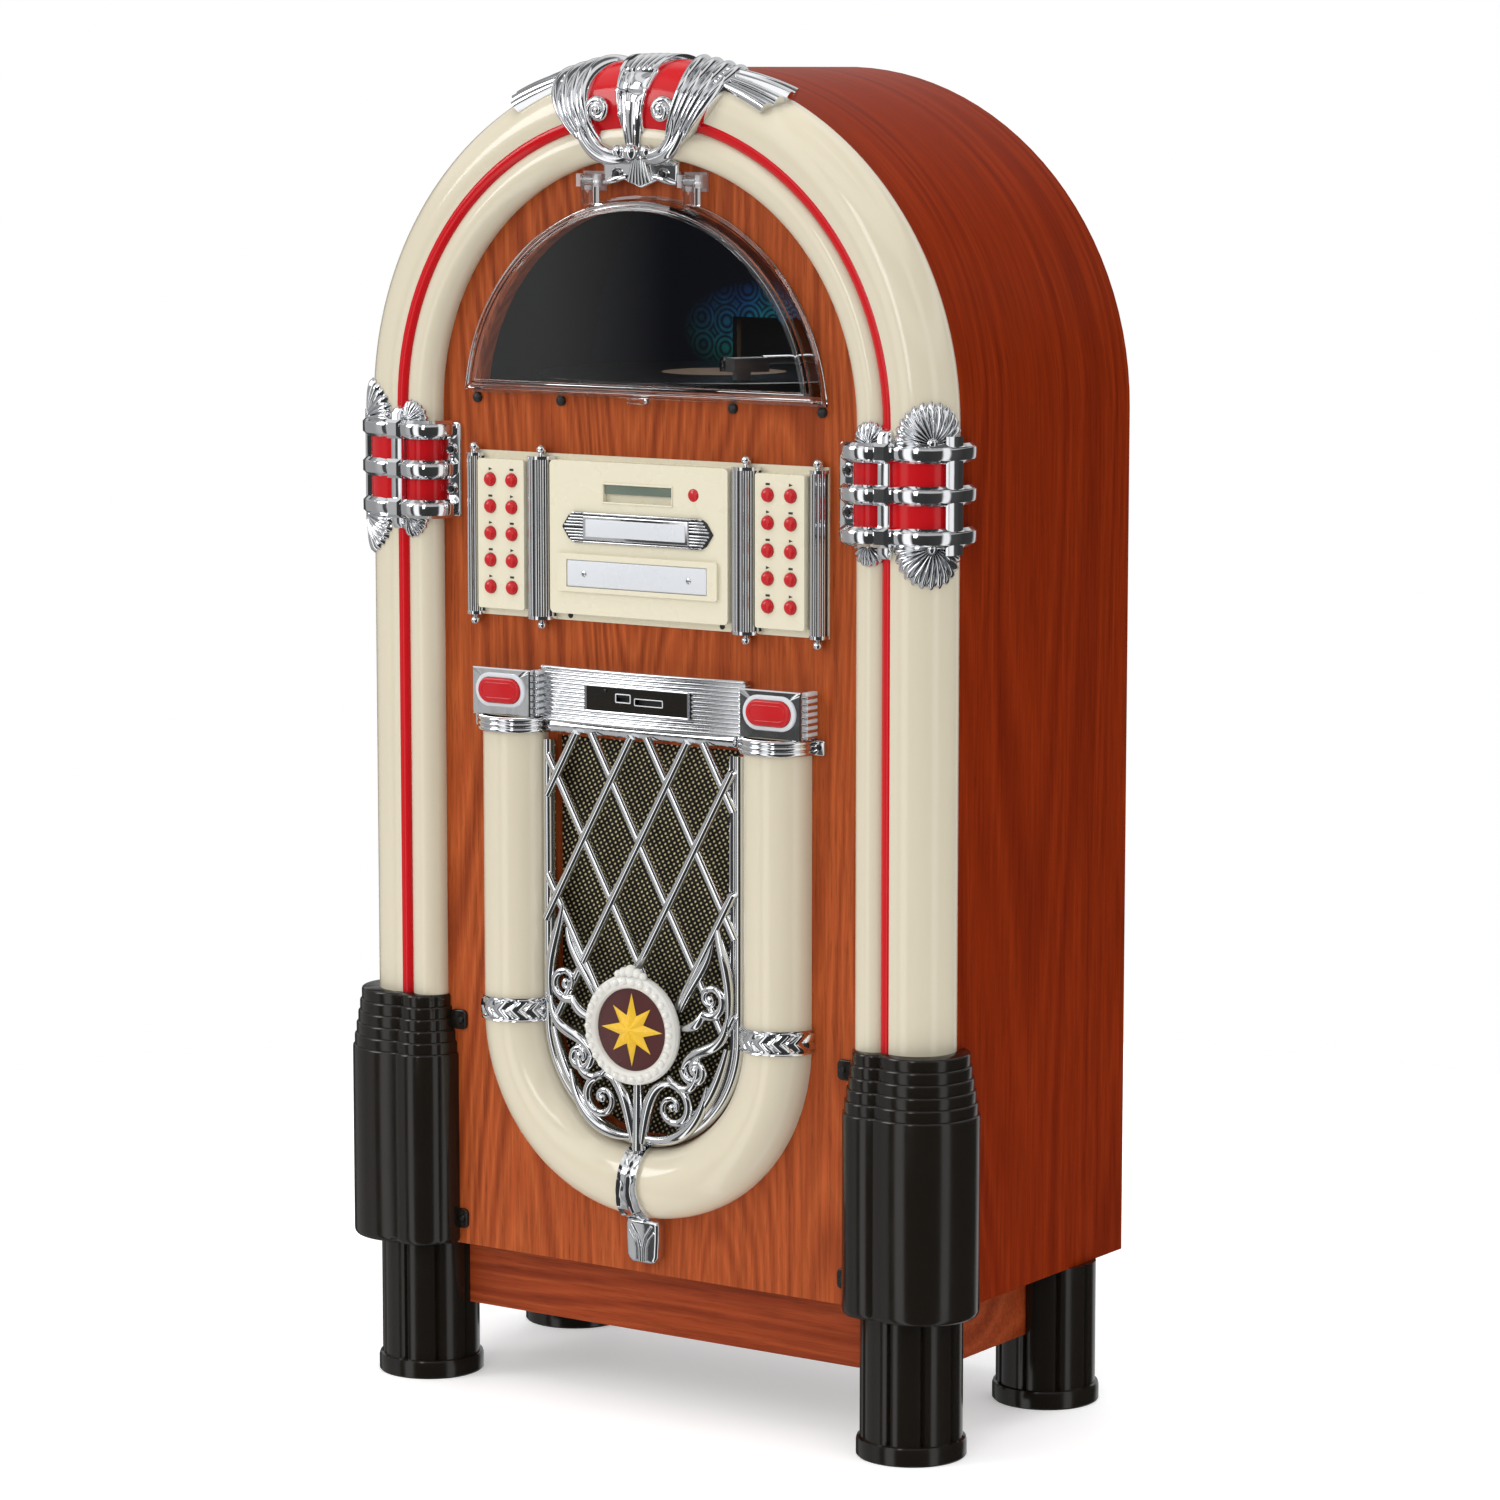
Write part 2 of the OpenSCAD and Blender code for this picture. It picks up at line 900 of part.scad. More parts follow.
module bowed(r, z0, z1) {
    translate([0, face_y - bar_f + bar_r, z0]) cylinder(r = r, h = z1 - z0, $fn = 720);
}

module media_bar() {
    rib_pitch = (bar_z1 - block_z0) / bar_ribs;
    color("silver")
        difference() {
            union() {
                intersection() {
                    slab(0, bar_f + 1) box2(-block_x0, block_z0, block_x0, bar_z1);
                    bowed(bar_r, block_z0 - 1, bar_z1 + 1);
                }
                slab(0, 9) box2(-tube_c + tube_r + 8, lip_z0, tube_c - tube_r - 8, block_z0);
            }
            for (i = [0:bar_ribs - 1])
                difference() {
                    bowed(bar_r + 2, block_z0 + i * rib_pitch, block_z0 + i * rib_pitch + 1.3);
                    bowed(bar_r - 1.2, block_z0 + i * rib_pitch - 1, block_z0 + i * rib_pitch + 3);
                }
            slab(2, bar_f + 2) box2(-socket_x, socket_z0, socket_x, socket_z1);
        }
}

module media_sockets() {
    color("black")
        difference() {
            slab(2, bar_f - 1) box2(-socket_x, socket_z0, socket_x, socket_z1);
            slab(4, bar_f) box2(-19.5, 574.5, -6.5, 580);
            slab(4, bar_f) box2(-1.5, 573, 24.5, 577.5);
        }
}

// crossing bars, clipped to the opening and stopped at the round badge
module lattice_2d() {
    lean = atan(cell_w / 2 / cell_h);
    bar_len = 420;
    intersection() {
        union()
            for (i = [-8:8], s = [-1, 1])
                translate([i * cell_w + cell_w / 2, grille_z + 4 * cell_h - 9])
                    rotate([0, 0, s * lean]) square([5, bar_len], center = true);
        grille_opening(opening_r);
        box2(-tube_c, grille_z + 2, tube_c, opening_top);
    }
}

module scroll(x, z, r, w) {
    translate([x, z])
        difference() {
            circle(r);
            circle(r - w);
        }
}

module grille_lattice() {
    color("silver")
        union() {
            slab(0, lattice_rim_f)
                difference() {
                    grille_opening(tube_c - tube_r - gap);
                    grille_opening(opening_r - 1);
                }
            slab(6, 16)
                difference() {
                    union() {
                        lattice_2d();
                        for (s = [-1, 1]) {
                            scroll(s * 33, grille_z - 58, 24, 5);
                            scroll(s * 66, grille_z - 22, 24, 5);
                            scroll(s * 68, grille_z + 24, 21, 5);
                        }
                        box2(-6, grille_z - 96, 6, grille_z - 44);
                    }
                    translate([0, grille_z]) circle(badge_r - 6);
                    difference() {
                        box2(-150, grille_z - 150, 150, opening_top + 50);
                        grille_opening(opening_r + 1);
                    }
                }
        }
}

module star_2d(r_out, r_in) {
    polygon([for (i = [0:2 * star_points - 1])
        let (a = 90 + i * 180 / star_points, r = i % 2 == 0 ? r_out : r_in) [r * cos(a), r * sin(a)]]);
}

module medallion() {
    color("white")
        union() {
            slab(16, 23) translate([0, grille_z]) circle(badge_r);
            slab(23, 29)
                translate([0, grille_z])
                    difference() {
                        circle(badge_r - 1);
                        circle(badge_r - 10);
                    }
        }
    color("gold") slab(23, 28) translate([0, grille_z]) star_2d(star_r, star_r / 2);
}

module grille_cloth() {
    color("dimgray") slab(-9, -6) grille_opening(opening_r);
}

// ---- insides -------------------------------------------------------------------------------

module speaker(z) {
    translate([0, face_y + panel_t, z])
        rotate([-90, 0, 0])
            rotate_extrude()
                polygon([[0, 30], [30, 26], [78, 4], [84, 0], [96, 0], [96, 4], [84, 6], [44, 38], [44, 60],
                         [0, 60]]);
}

module speakers() {
    color("dimgray") {
        speaker(450);
        speaker(256);
    }
}

module amplifier() {
    color("seagreen")
        union() {
            translate([-120, -20, floor_z]) cube([150, 110, 6]);
            translate([-110, 60, floor_z + 5]) cube([90, 22, 45]);
        }
    color("gray")
        translate([70, 0, floor_z])
            union() {
                cube([84, 60, 52]);
                translate([-8, 15, 0]) cube([100, 30, 42]);
            }
}

module turntable_deck() {
    color("black")
        difference() {
            translate([-inner_r + 0.2, face_y + panel_t, deck_z1 - deck_t])
                cube([2 * inner_r - 0.4, cab_d - panel_t - back_t, deck_t]);
            translate([spindle_x, spindle_y, 0]) cylinder(r = bearing_r + pin_gap, h = arch_z * 2);
            translate([pivot[0], pivot[1], 0]) cylinder(r = bearing_r + pin_gap, h = arch_z * 2);
        }
}

// printed card standing at the back of the record bay, cut out round the record
module backdrop() {
    card_y = 150;
    color("teal")
        difference() {
            slab(face_y - card_y - 2, face_y - card_y)
                intersection() {
                    arch_2d(inner_r - 1, deck_z1 - deck_t);
                    box2(-cab_r, deck_z1, cab_r, arch_z + cab_r);
                }
            slab(face_y - card_y - 3, face_y - card_y + 1)
                box2(spindle_x - bulge_x, deck_z1 - 1, spindle_x + bulge_x, bulge_z1);
        }
}

module drive_motor() {
    color("gray")
        translate([spindle_x, spindle_y, deck_z1 - deck_t - 26])
            difference() {
                cylinder(r = motor_r, h = 26);
                translate([0, 0, 4]) cylinder(r = bearing_r + pin_gap, h = 30);
            }
}

module platter() {
    color("dimgray")
        translate([spindle_x, spindle_y, 0])
            rotate_extrude($fn = 128)
                polygon([[0, deck_z1 - deck_t - 20], [bearing_r, deck_z1 - deck_t - 20],
                         [bearing_r, platter_z0 - 3], [22, platter_z0 - 3], [22, platter_z0],
                         [platter_r, platter_z0], [platter_r, record_z - 2], [spindle_r, record_z - 2],
                         [spindle_r, record_z + 9], [spindle_r - 1.5, record_z + 11.5], [0, record_z + 12]]);
}

module record() {
    color("black")
        translate([spindle_x, spindle_y, record_z - 2])
            difference() {
                cylinder(r = record_r, h = 2, $fn = 128);
                translate([0, 0, -1]) cylinder(r = spindle_r + pin_gap, h = 4);
            }
}

// places a piece at the tonearm's pivot, with its own -Y pointing along the arm
module at_arm() {
    translate([pivot[0], pivot[1], 0]) rotate([0, 0, -arm_angle]) children();
}

module tonearm_turret() {
    color("black")
        at_arm()
            difference() {
                union() {
                    translate([0, 0, deck_z1 - deck_t]) cylinder(r = bearing_r, h = deck_t + 1);
                    translate([0, 0, deck_z1 + gap]) cylinder(r = turret_r, h = 22);
                    for (s = [-1, 1])
                        translate([s * 11 - 2.5, -6, deck_z1 + 20]) cube([5, 12, arm_z - deck_z1 - 14]);
                }
                translate([-20, 0, arm_z])
                    rotate([0, 90, 0]) cylinder(r = hinge_pin_r + pin_gap, h = 40);
            }
}

module tonearm() {
    color("black")
        at_arm()
            union() {
                translate([-13, 0, arm_z]) rotate([0, 90, 0]) cylinder(r = hinge_pin_r, h = 26);
                translate([0, 0, arm_z]) rotate([0, 90, 0]) cylinder(r = 7, h = 12, center = true);
                translate([0, 46, arm_z]) rotate([90, 0, 0]) cylinder(r = 3.5, h = arm_len + 26);
                translate([0, 50, arm_z]) rotate([90, 0, 0]) cylinder(r = 12, h = 20);
                translate([-8, -arm_len - 8, arm_z - 9]) cube([16, 30, 11]);
                translate([-4, -arm_len - 4, record_z + 1]) cube([8, 12, arm_z - record_z - 6]);
            }
}

module power_inlet() {
    y1 = back_y;
    color("black")
        difference() {
            union() {
                translate([inlet_x - inlet_w, y1 - 22, inlet_z - inlet_h])
                    cube([2 * inlet_w, 22, 2 * inlet_h]);
                translate([inlet_x - inlet_w - 8, y1, inlet_z - inlet_h - 4])
                    cube([2 * inlet_w + 16, 2, 2 * inlet_h + 8]);
            }
            translate([inlet_x - 13, y1 - 18, inlet_z - 9]) cube([26, 30, 18]);
        }
    color("silver")
        for (x = [-7, 0, 7])
            translate([inlet_x + x - 1, y1 - 18, inlet_z - 2 + (x == 0 ? 3 : 0)]) cube([2, 14, 4]);
}

module screws() {
    color("dimgray")
        both_sides()
            for (s = panel_screws)
                translate([s[0], face_y - s[2], s[1]]) {
                    rotate([-90, 0, 0]) cylinder(r = screw_r, h = screw_len - 1, $fn = 24);
                    rotate([90, 0, 0]) cylinder(r = screw_head_r, h = screw_head_h, $fn = 24);
                }
}

// ---- one line per node ---------------------------------------------------------------------

cabinet_shell();
front_panel();
back_panel();
plinth();
legs();
columns();
arch_moulding();
red_trim();
corner_boots();
clamps();
crest();
window_cover();
hinge_brackets();
backdrop();
control_housing();
reeded_pillars();
display_lenses();
badge_plate();
cd_tray();
cd_mechanism();
corner_blocks();
media_bar();
media_sockets();
grille_tube();
tube_bands();
grille_lattice();
medallion();
grille_cloth();
speakers();
amplifier();
turntable_deck();
drive_motor();
platter();
record();
tonearm_turret();
tonearm();
power_inlet();
screws();
light_button(-1);  // light_button_left
light_button(1);  // light_button_right
for (i = [0:19]) button(i);
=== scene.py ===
from math import acos, asin, atan2, cos, exp, hypot, pi, sin, sqrt

import bmesh
import bpy
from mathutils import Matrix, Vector


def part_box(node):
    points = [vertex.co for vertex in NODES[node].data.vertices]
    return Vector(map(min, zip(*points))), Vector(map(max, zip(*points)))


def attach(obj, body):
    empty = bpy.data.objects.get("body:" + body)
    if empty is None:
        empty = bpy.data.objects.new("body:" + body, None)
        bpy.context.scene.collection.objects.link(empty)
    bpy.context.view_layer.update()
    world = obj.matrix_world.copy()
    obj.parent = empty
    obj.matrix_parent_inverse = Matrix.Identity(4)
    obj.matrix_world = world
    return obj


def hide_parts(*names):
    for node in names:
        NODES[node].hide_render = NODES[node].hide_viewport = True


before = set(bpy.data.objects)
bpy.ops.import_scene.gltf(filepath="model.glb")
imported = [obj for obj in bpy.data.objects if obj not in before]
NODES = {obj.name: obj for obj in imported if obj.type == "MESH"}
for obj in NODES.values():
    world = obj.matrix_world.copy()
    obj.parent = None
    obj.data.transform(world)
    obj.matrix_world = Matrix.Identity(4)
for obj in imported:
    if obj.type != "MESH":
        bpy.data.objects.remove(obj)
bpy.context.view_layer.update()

MM = 0.001

# landmarks, in mm, taken from the frame: x sideways, f in front of the panel's face, z up
panel_lo, panel_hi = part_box("front_panel")
OUT = (0, -1, 0)
FACE = panel_lo[1]
HALF = panel_hi[0] / MM
ARCH_Z = panel_hi[2] / MM - HALF
BASE_Z = panel_lo[2] / MM


def at(x, f, z):
    return Vector((x * MM, FACE - f * MM, z * MM))


def box_mm(node):
    """(x0, x1, f0, f1, z0, z1) of a CAD node, in mm."""
    lo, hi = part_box(node)
    return (lo[0] / MM, hi[0] / MM, (FACE - hi[1]) / MM, (FACE - lo[1]) / MM, lo[2] / MM, hi[2] / MM)


def rad(a):
    return a * pi / 180


def polar(cx, cz, r, q):
    return cx + r * cos(q), cz + r * sin(q)


def arc(cx, cz, r, a0, a1, n):
    """Points round a circle from angle a0 to a1, in degrees."""
    return [polar(cx, cz, r, rad(a0 + (a1 - a0) * k / n)) for k in range(n + 1)]


def level(outline, f):
    """An outline of (x, z) points set at f in front of the panel."""
    return [at(x, f, z) for x, z in outline]


def placed(name, data):
    o = bpy.data.objects.new(name, data)
    bpy.context.scene.collection.objects.link(o)
    return o


# ---- camera ----

AZ, EL, DIST = rad(34.2), rad(7.7), 4.0785
target = Vector((0, 0.015, 0.520))
cam_data = bpy.data.cameras.new("camera")
cam = placed("camera", cam_data)
cam.location = target + DIST * Vector((sin(AZ) * cos(EL), -cos(AZ) * cos(EL), sin(EL)))
cam.rotation_euler = (target - cam.location).to_track_quat("-Z", "Y").to_euler()
cam_data.lens = 120.85
cam_data.sensor_width = 36
cam_data.clip_end = 60
bpy.context.scene.camera = cam


# ---- materials ----

class Nodes:
    """A small helper for building a node tree."""

    def __init__(self, nt):
        self.nt = nt

    def node(self, kind, links=(), **values):
        n = self.nt.nodes.new(kind)
        for k, v in values.items():
            if k in n.inputs:
                n.inputs[k].default_value = v
            else:
                setattr(n, k, v)
        for socket, source in links:
            self.nt.links.new(source, n.inputs[socket])
        return n

    def fill(self, *pairs):
        """Gives each socket its number, its colour or its link."""
        for socket, v in pairs:
            if isinstance(v, (int, float)):
                socket.default_value = v if socket.type == "VALUE" else (v, v, v, 1)
            elif isinstance(v, tuple):
                socket.default_value = (*v, 1)
            else:
                self.nt.links.new(v, socket)

    def split(self, vector):
        return self.node("ShaderNodeSeparateXYZ", [("Vector", vector)]).outputs

    def ramp(self, fac, *stops):
        n = self.node("ShaderNodeValToRGB", [("Fac", fac)])
        r = n.color_ramp
        while len(r.elements) < len(stops):
            r.elements.new(0.5)
        for e, (p, c) in zip(r.elements, stops):
            e.position = p
            e.color = (*c, 1) if isinstance(c, tuple) else (c, c, c, 1)
        return n.outputs["Color"]

    def mix(self, fac, a, b, mode="MIX"):
        n = self.node("ShaderNodeMix", data_type="RGBA", blend_type=mode)
        self.fill((n.inputs[0], fac), (n.inputs[6], a), (n.inputs[7], b))
        return n.outputs[2]

    def math(self, op, a, b=0.0):
        n = self.node("ShaderNodeMath", operation=op)
        self.fill(*zip(n.inputs, (a, b)))
        return n.outputs[0]

    def reach(self, a, b):
        """The length of (a, b)."""
        return self.math("SQRT", self.math("ADD", self.math("MULTIPLY", a, a), self.math("MULTIPLY", b, b)))


class Shader(Nodes):
    """A material round one Principled shader."""

    def __init__(self, name, **sockets):
        self.mat = bpy.data.materials.new(name)
        self.mat.use_nodes = True
        super().__init__(self.mat.node_tree)
        self.bsdf = self.nt.nodes["Principled BSDF"]
        self.source = self.node("ShaderNodeTexCoord").outputs["Object"]
        for k, v in sockets.items():
            socket = self.bsdf.inputs[k.replace("_", " ")]
            socket.default_value = (*v, 1) if isinstance(v, tuple) else v

    def link(self, source, socket):
        self.nt.links.new(source, self.bsdf.inputs[socket])

    def coords(self, scale=(1, 1, 1)):
        return self.node("ShaderNodeMapping", [("Vector", self.source)], Scale=scale).outputs["Vector"]

    def noise(self, vector, scale, detail=4, rough=0.5, distortion=0):
        return self.node("ShaderNodeTexNoise", [("Vector", vector)], Scale=scale, Detail=detail,
                         Roughness=rough, Distortion=distortion).outputs["Fac"]

    def bump(self, height, strength, distance):
        n = self.node("ShaderNodeBump", [("Height", height)], Strength=strength, Distance=distance)
        self.link(n.outputs["Normal"], "Normal")

    def vary_rough(self, low, high, scale=30):
        self.link(self.ramp(self.noise(self.coords(), scale, 3), (0.3, low), (0.7, high)), "Roughness")


def plastic(name, colour, rough=0.12, coat=0.6, vary=0.03, shine=0.5):
    s = Shader(name, Base_Color=colour, Coat_Weight=coat, Coat_Roughness=0.05, Specular_IOR_Level=shine)
    s.vary_rough(rough, rough + 0.08)
    dark = tuple(c * (1 - vary * 2) for c in colour)
    s.link(s.mix(s.noise(s.coords(), 9, 5), dark, colour), "Base Color")
    s.bump(s.noise(s.coords(), 420, 2), 0.04, 0.0004)
    return s.mat


def chrome(name, tint=(0.86, 0.87, 0.89), rough=0.05, wave=0.06):
    s = Shader(name, Base_Color=tint, Metallic=1.0)
    s.vary_rough(rough, rough + 0.07, 60)
    s.bump(s.noise(s.coords(), 70, 2), wave, 0.002)
    return s.mat


def wood(name, light, mid, dark, axis, contrast=1.0, bent_at=0, painted_shade_forwards=False):
    """Varnished veneer: stretched growth bands, fine pores and fibres along one axis.
    With bent_at, the sheet follows the arch of that radius, and is black inside it: painted shade for the cabinet's
    dark inside.
    With painted_shade_forwards, the faces that look forwards are black: painted shade on the inner side of the back
    panel."""
    s = Shader(name, Specular_IOR_Level=0.02 if bent_at else 0.12)
    painted = None
    if bent_at:
        x, y, z = s.split(s.source)
        across = s.math("ABSOLUTE", x)
        rise = s.math("MAXIMUM", s.math("SUBTRACT", z, ARCH_Z * MM), 0.0)
        # black inside the arch's radius: painted shade for the inside of the cabinet
        painted = s.math("LESS_THAN", s.reach(across, rise), (bent_at - 2) * MM)
        arched = s.math("MULTIPLY", s.math("ARCTAN2", rise, across), bent_at * MM)
        height = s.math("ADD", s.math("MINIMUM", z, ARCH_Z * MM), arched)
        s.source = s.node("ShaderNodeCombineXYZ", [("Y", y), ("Z", height)]).outputs["Vector"]
    if painted_shade_forwards:
        # black on faces that look forwards: painted shade inside the cabinet
        normal = s.node("ShaderNodeNewGeometry").outputs["Normal"]
        painted = s.math("LESS_THAN", s.split(normal)["Y"], -0.2)
    along = 0.12
    stretch = {"z": (1, 1, along), "x": (along, 1, 1), "y": (1, along, 1)}[axis]
    v = s.coords(stretch)
    warp = s.noise(v, 3.6, 2, 0.45, 0.5)
    bands = s.math("SINE", s.math("MULTIPLY", warp, 230 * contrast))
    bands = s.math("ADD", s.math("MULTIPLY", bands, 0.5), 0.5)
    shade = tuple((p + q) / 2 for p, q in zip(dark, mid))
    tone = s.ramp(bands, (0.0, shade), (0.22, mid), (0.6, light), (1.0, mid))
    broad = s.noise(s.coords((2.2, 2.2, 0.5)), 2.2, 3)
    tone = s.mix(s.ramp(broad, (0.35, 0.0), (0.7, 0.55)), tone, mid)
    fine = tuple(1 if c == 1 else 0.035 for c in stretch)
    fibre = s.noise(s.coords(fine), 330, 4, 0.7)
    streak = s.ramp(fibre, (0.38, 0.62), (0.6, 1.0))
    tone = s.mix(0.75, tone, streak, "MULTIPLY")
    pores = s.noise(s.coords(tuple(c if c == 1 else 0.05 for c in stretch)), 700, 2, 0.6)
    pits = s.ramp(pores, (0.30, 0.45), (0.42, 1.0))
    tone = s.mix(0.5 * contrast, tone, pits, "MULTIPLY")
    # the black here is painted shade, not the wood's colour
    if painted:
        tone = s.mix(painted, tone, (0.006, 0.006, 0.007))
    s.link(tone, "Base Color")
    s.link(s.ramp(fibre, (0.3, 0.30), (0.7, 0.42)), "Roughness")
    s.bump(fibre, 0.10, 0.0004)
    return s.mat


def cloth_material():
    """Speaker cloth: black ground with a gold thread woven through it on the slant."""
    s = Shader("cloth_weave", Roughness=0.8)
    x, _, z = s.split(s.coords())
    pitch = 2 * pi / 0.0050
    a = s.math("SINE", s.math("MULTIPLY", s.math("ADD", x, s.math("MULTIPLY", z, 0.55)), pitch))
    b = s.math("SINE", s.math("MULTIPLY", s.math("SUBTRACT", x, s.math("MULTIPLY", z, 1.5)), pitch * 0.8))
    weave = s.math("MULTIPLY", s.math("ADD", a, 1), s.math("ADD", b, 1))
    patch = s.noise(s.coords(), 260, 2)
    strength = s.math("MULTIPLY", s.math("MULTIPLY", weave, 0.25), s.math("ADD", patch, 0.5))
    gold = s.ramp(strength, (0.22, (0.004, 0.004, 0.003)), (0.45, (0.075, 0.058, 0.022)),
                  (0.75, (0.66, 0.57, 0.31)))
    s.link(gold, "Base Color")
    s.bump(weave, 0.5, 0.0006)
    return s.mat


def card_material(patches):
    """Dark card with a foil pattern that shows only in patches of painted reflection, at (x, z, width, height); its
    colour also feeds its emission, so the card glows.
    """
    s = Shader("card_print_painted_glint_and_glow", Roughness=0.35, Specular_IOR_Level=0.2, Emission_Strength=0.45)
    v = s.coords()
    across, _, up = s.split(v)
    # painted reflection: full at each patch's middle, fading to none at its edge
    painted_glint = 0.0
    for x, z, width, height in patches:
        dx = s.math("MULTIPLY", s.math("SUBTRACT", across, x * MM), 1 / (width * MM))
        dz = s.math("MULTIPLY", s.math("SUBTRACT", up, z * MM), 1 / (height * MM))
        painted_glint = s.math("MAXIMUM", painted_glint, s.math("SUBTRACT", 1.0, s.reach(dx, dz)))
    cell = s.node("ShaderNodeTexVoronoi", [("Vector", v)], feature="F1", Scale=42, Randomness=0.2)
    rays = s.math("ABSOLUTE", s.math("SINE", s.math("MULTIPLY", cell.outputs["Distance"], 20)))
    burst = s.math("MULTIPLY", s.math("POWER", rays, 1.6), s.math("ADD", s.noise(v, 90, 2), 0.2))
    hue = s.ramp(s.noise(v, 9, 2), (0.40, (0.015, 0.26, 0.22)), (0.55, (0.02, 0.13, 0.45)))
    # the foil print shows only where the painted reflection is
    print_and_glint = s.mix(s.math("MULTIPLY", burst, painted_glint), (0.002, 0.0025, 0.006), hue)
    s.link(print_and_glint, "Base Color")
    # painted glow: the card emits its own colour, though it is no lamp
    s.link(print_and_glint, "Emission Color")
    return s.mat


def record_material(cx, cy):
    """Vinyl with its grooves as fine rings about the spindle."""
    s = Shader("vinyl_grooves", Base_Color=(0.008, 0.008, 0.009), Coat_Weight=0.4)
    m = s.node("ShaderNodeMapping", [("Vector", s.source)], Location=(-cx, -cy, 0))
    rings = s.node("ShaderNodeTexWave", [("Vector", m.outputs["Vector"])], wave_type="RINGS",
                   rings_direction="Z", wave_profile="SIN", Scale=260).outputs["Fac"]
    s.link(s.ramp(rings, (0.0, 0.18), (1.0, 0.36)), "Roughness")
    s.bump(rings, 0.35, 0.0003)
    return s.mat


CREAM = plastic("cream_gloss", (0.62, 0.560, 0.430), 0.10, 0.35, 0.015)
CREAM_SATIN = plastic("cream_satin", (0.70, 0.65, 0.50), 0.24, 0.2, 0.015)
RED = plastic("red_gloss", (0.50, 0.004, 0.008), 0.12, 0.1, 0.03, 0.35)
BUTTON_RED = plastic("button_red", (0.48, 0.008, 0.012), 0.20, 0.2, 0.03, 0.4)
BLACK = plastic("black_gloss", (0.009, 0.007, 0.005), 0.14, 0.15, 0.03, 0.4)
BLACK_MATT = plastic("black_satin", (0.012, 0.012, 0.013), 0.42, 0.0)
WHITE = plastic("white_gloss", (0.70, 0.69, 0.65), 0.16, 0.4)
MAROON = plastic("maroon_enamel", (0.075, 0.018, 0.018), 0.22, 0.5)
YELLOW = plastic("star_yellow", (0.82, 0.50, 0.025), 0.24, 0.3)
LCD = plastic("display_green", (0.135, 0.170, 0.135), 0.16, 0.3)
# near-black for printed key marks, and as painted shade in screw recesses, slots, reed grooves and socket holes
INK_AND_SHADE = plastic("dark_ink_and_painted_shade", (0.02, 0.02, 0.02), 0.4, 0.0)
CHROME = chrome("chrome_bright", (0.83, 0.84, 0.86), 0.04, 0.05)
SILVER = plastic("silver_satin", (0.64, 0.66, 0.69), 0.26, 0.2, 0.03, 0.8)
STEEL = chrome("steel_sheet", (0.52, 0.53, 0.54), 0.34, 0.05)
DARK_METAL = chrome("dark_metal", (0.06, 0.06, 0.065), 0.25, 0.05)
WOOD_FRONT = wood("veneer_front", (0.46, 0.100, 0.024), (0.37, 0.070, 0.016), (0.17, 0.024, 0.006), "z", 1.0)
# darker colours than the front veneer: painted shade for the sides that turn away from the key light
WOOD_SIDE_SHADED = wood("veneer_side_painted_shade", (0.245, 0.024, 0.002), (0.205, 0.018, 0.001), (0.13, 0.010, 0.001), "z", 0.50, HALF)
WOOD_PLINTH = wood("veneer_plinth", (0.36, 0.066, 0.017), (0.29, 0.046, 0.011), (0.16, 0.020, 0.005), "x", 0.8)
# its forward faces are black: painted shade inside the cabinet
HARDBOARD = wood("hardboard", (0.20, 0.12, 0.065), (0.16, 0.095, 0.05), (0.13, 0.075, 0.04), "z", 0.3, 0, True)
CLOTH = cloth_material()
WINDOW_Z = box_mm("window_cover")[4]
# the one patch is painted reflection on the card, which also glows from its emission
CARD = card_material(((-70, WINDOW_Z + 42, 90, 44),))
GREEN_BOARD = plastic("circuit_board", (0.02, 0.13, 0.06), 0.35, 0.1)
SPEAKER_GREY = plastic("speaker_grey", (0.05, 0.05, 0.055), 0.5, 0.0)

CLEAR = Shader("clear_acrylic", Base_Color=(0.96, 0.98, 0.99), Roughness=0.02, IOR=1.46,
               Transmission_Weight=1.0).mat
CLEAR_BRACKET = Shader("clear_bracket", Base_Color=(0.80, 0.80, 0.82), Roughness=0.06, Alpha=0.34,
                       Coat_Weight=0.8).mat


# ---- mesh helpers ----

class Build:
    """Collects closed shapes into one mesh, in chrome unless a material is given."""

    def __init__(self):
        self.verts, self.faces, self.mats, self.slots = [], [], [], []

    def add(self, shape, mat=CHROME):
        verts, faces = shape
        base = len(self.verts)
        if mat not in self.slots:
            self.slots.append(mat)
        k = self.slots.index(mat)
        self.verts += [Vector(v) for v in verts]
        self.faces += [tuple(base + i for i in f) for f in faces]
        self.mats += [k] * len(faces)

    def done(self, name, body="cabinet", replaces=(), angle=38):
        me = bpy.data.meshes.new(name)
        me.from_pydata([tuple(v) for v in self.verts], [], self.faces)
        for m in self.slots:
            me.materials.append(m)
        me.polygons.foreach_set("material_index", self.mats)
        bm = bmesh.new()
        bm.from_mesh(me)
        bmesh.ops.recalc_face_normals(bm, faces=bm.faces)
        bm.to_mesh(me)
        bm.free()
        me.shade_smooth()
        me.set_sharp_from_angle(angle=rad(angle))
        o = placed(name, me)
        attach(o, body)
        if replaces:
            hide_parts(*replaces)


def loft(rings, closed_path=False):
    """Skins a list of equal closed loops, with an end cap at each end of an open path."""
    n = len(rings[0])
    verts = [v for r in rings for v in r]
    faces = []
    m = len(rings)
    for i in range(m if closed_path else m - 1):
        a, b = i * n, (i + 1) % m * n
        for j in range(n):
            k = (j + 1) % n
            faces.append((a + j, a + k, b + k, b + j))
    if not closed_path:
        faces.append(tuple(range(n)))
        faces.append(tuple(reversed(range((m - 1) * n, m * n))))
    return verts, faces


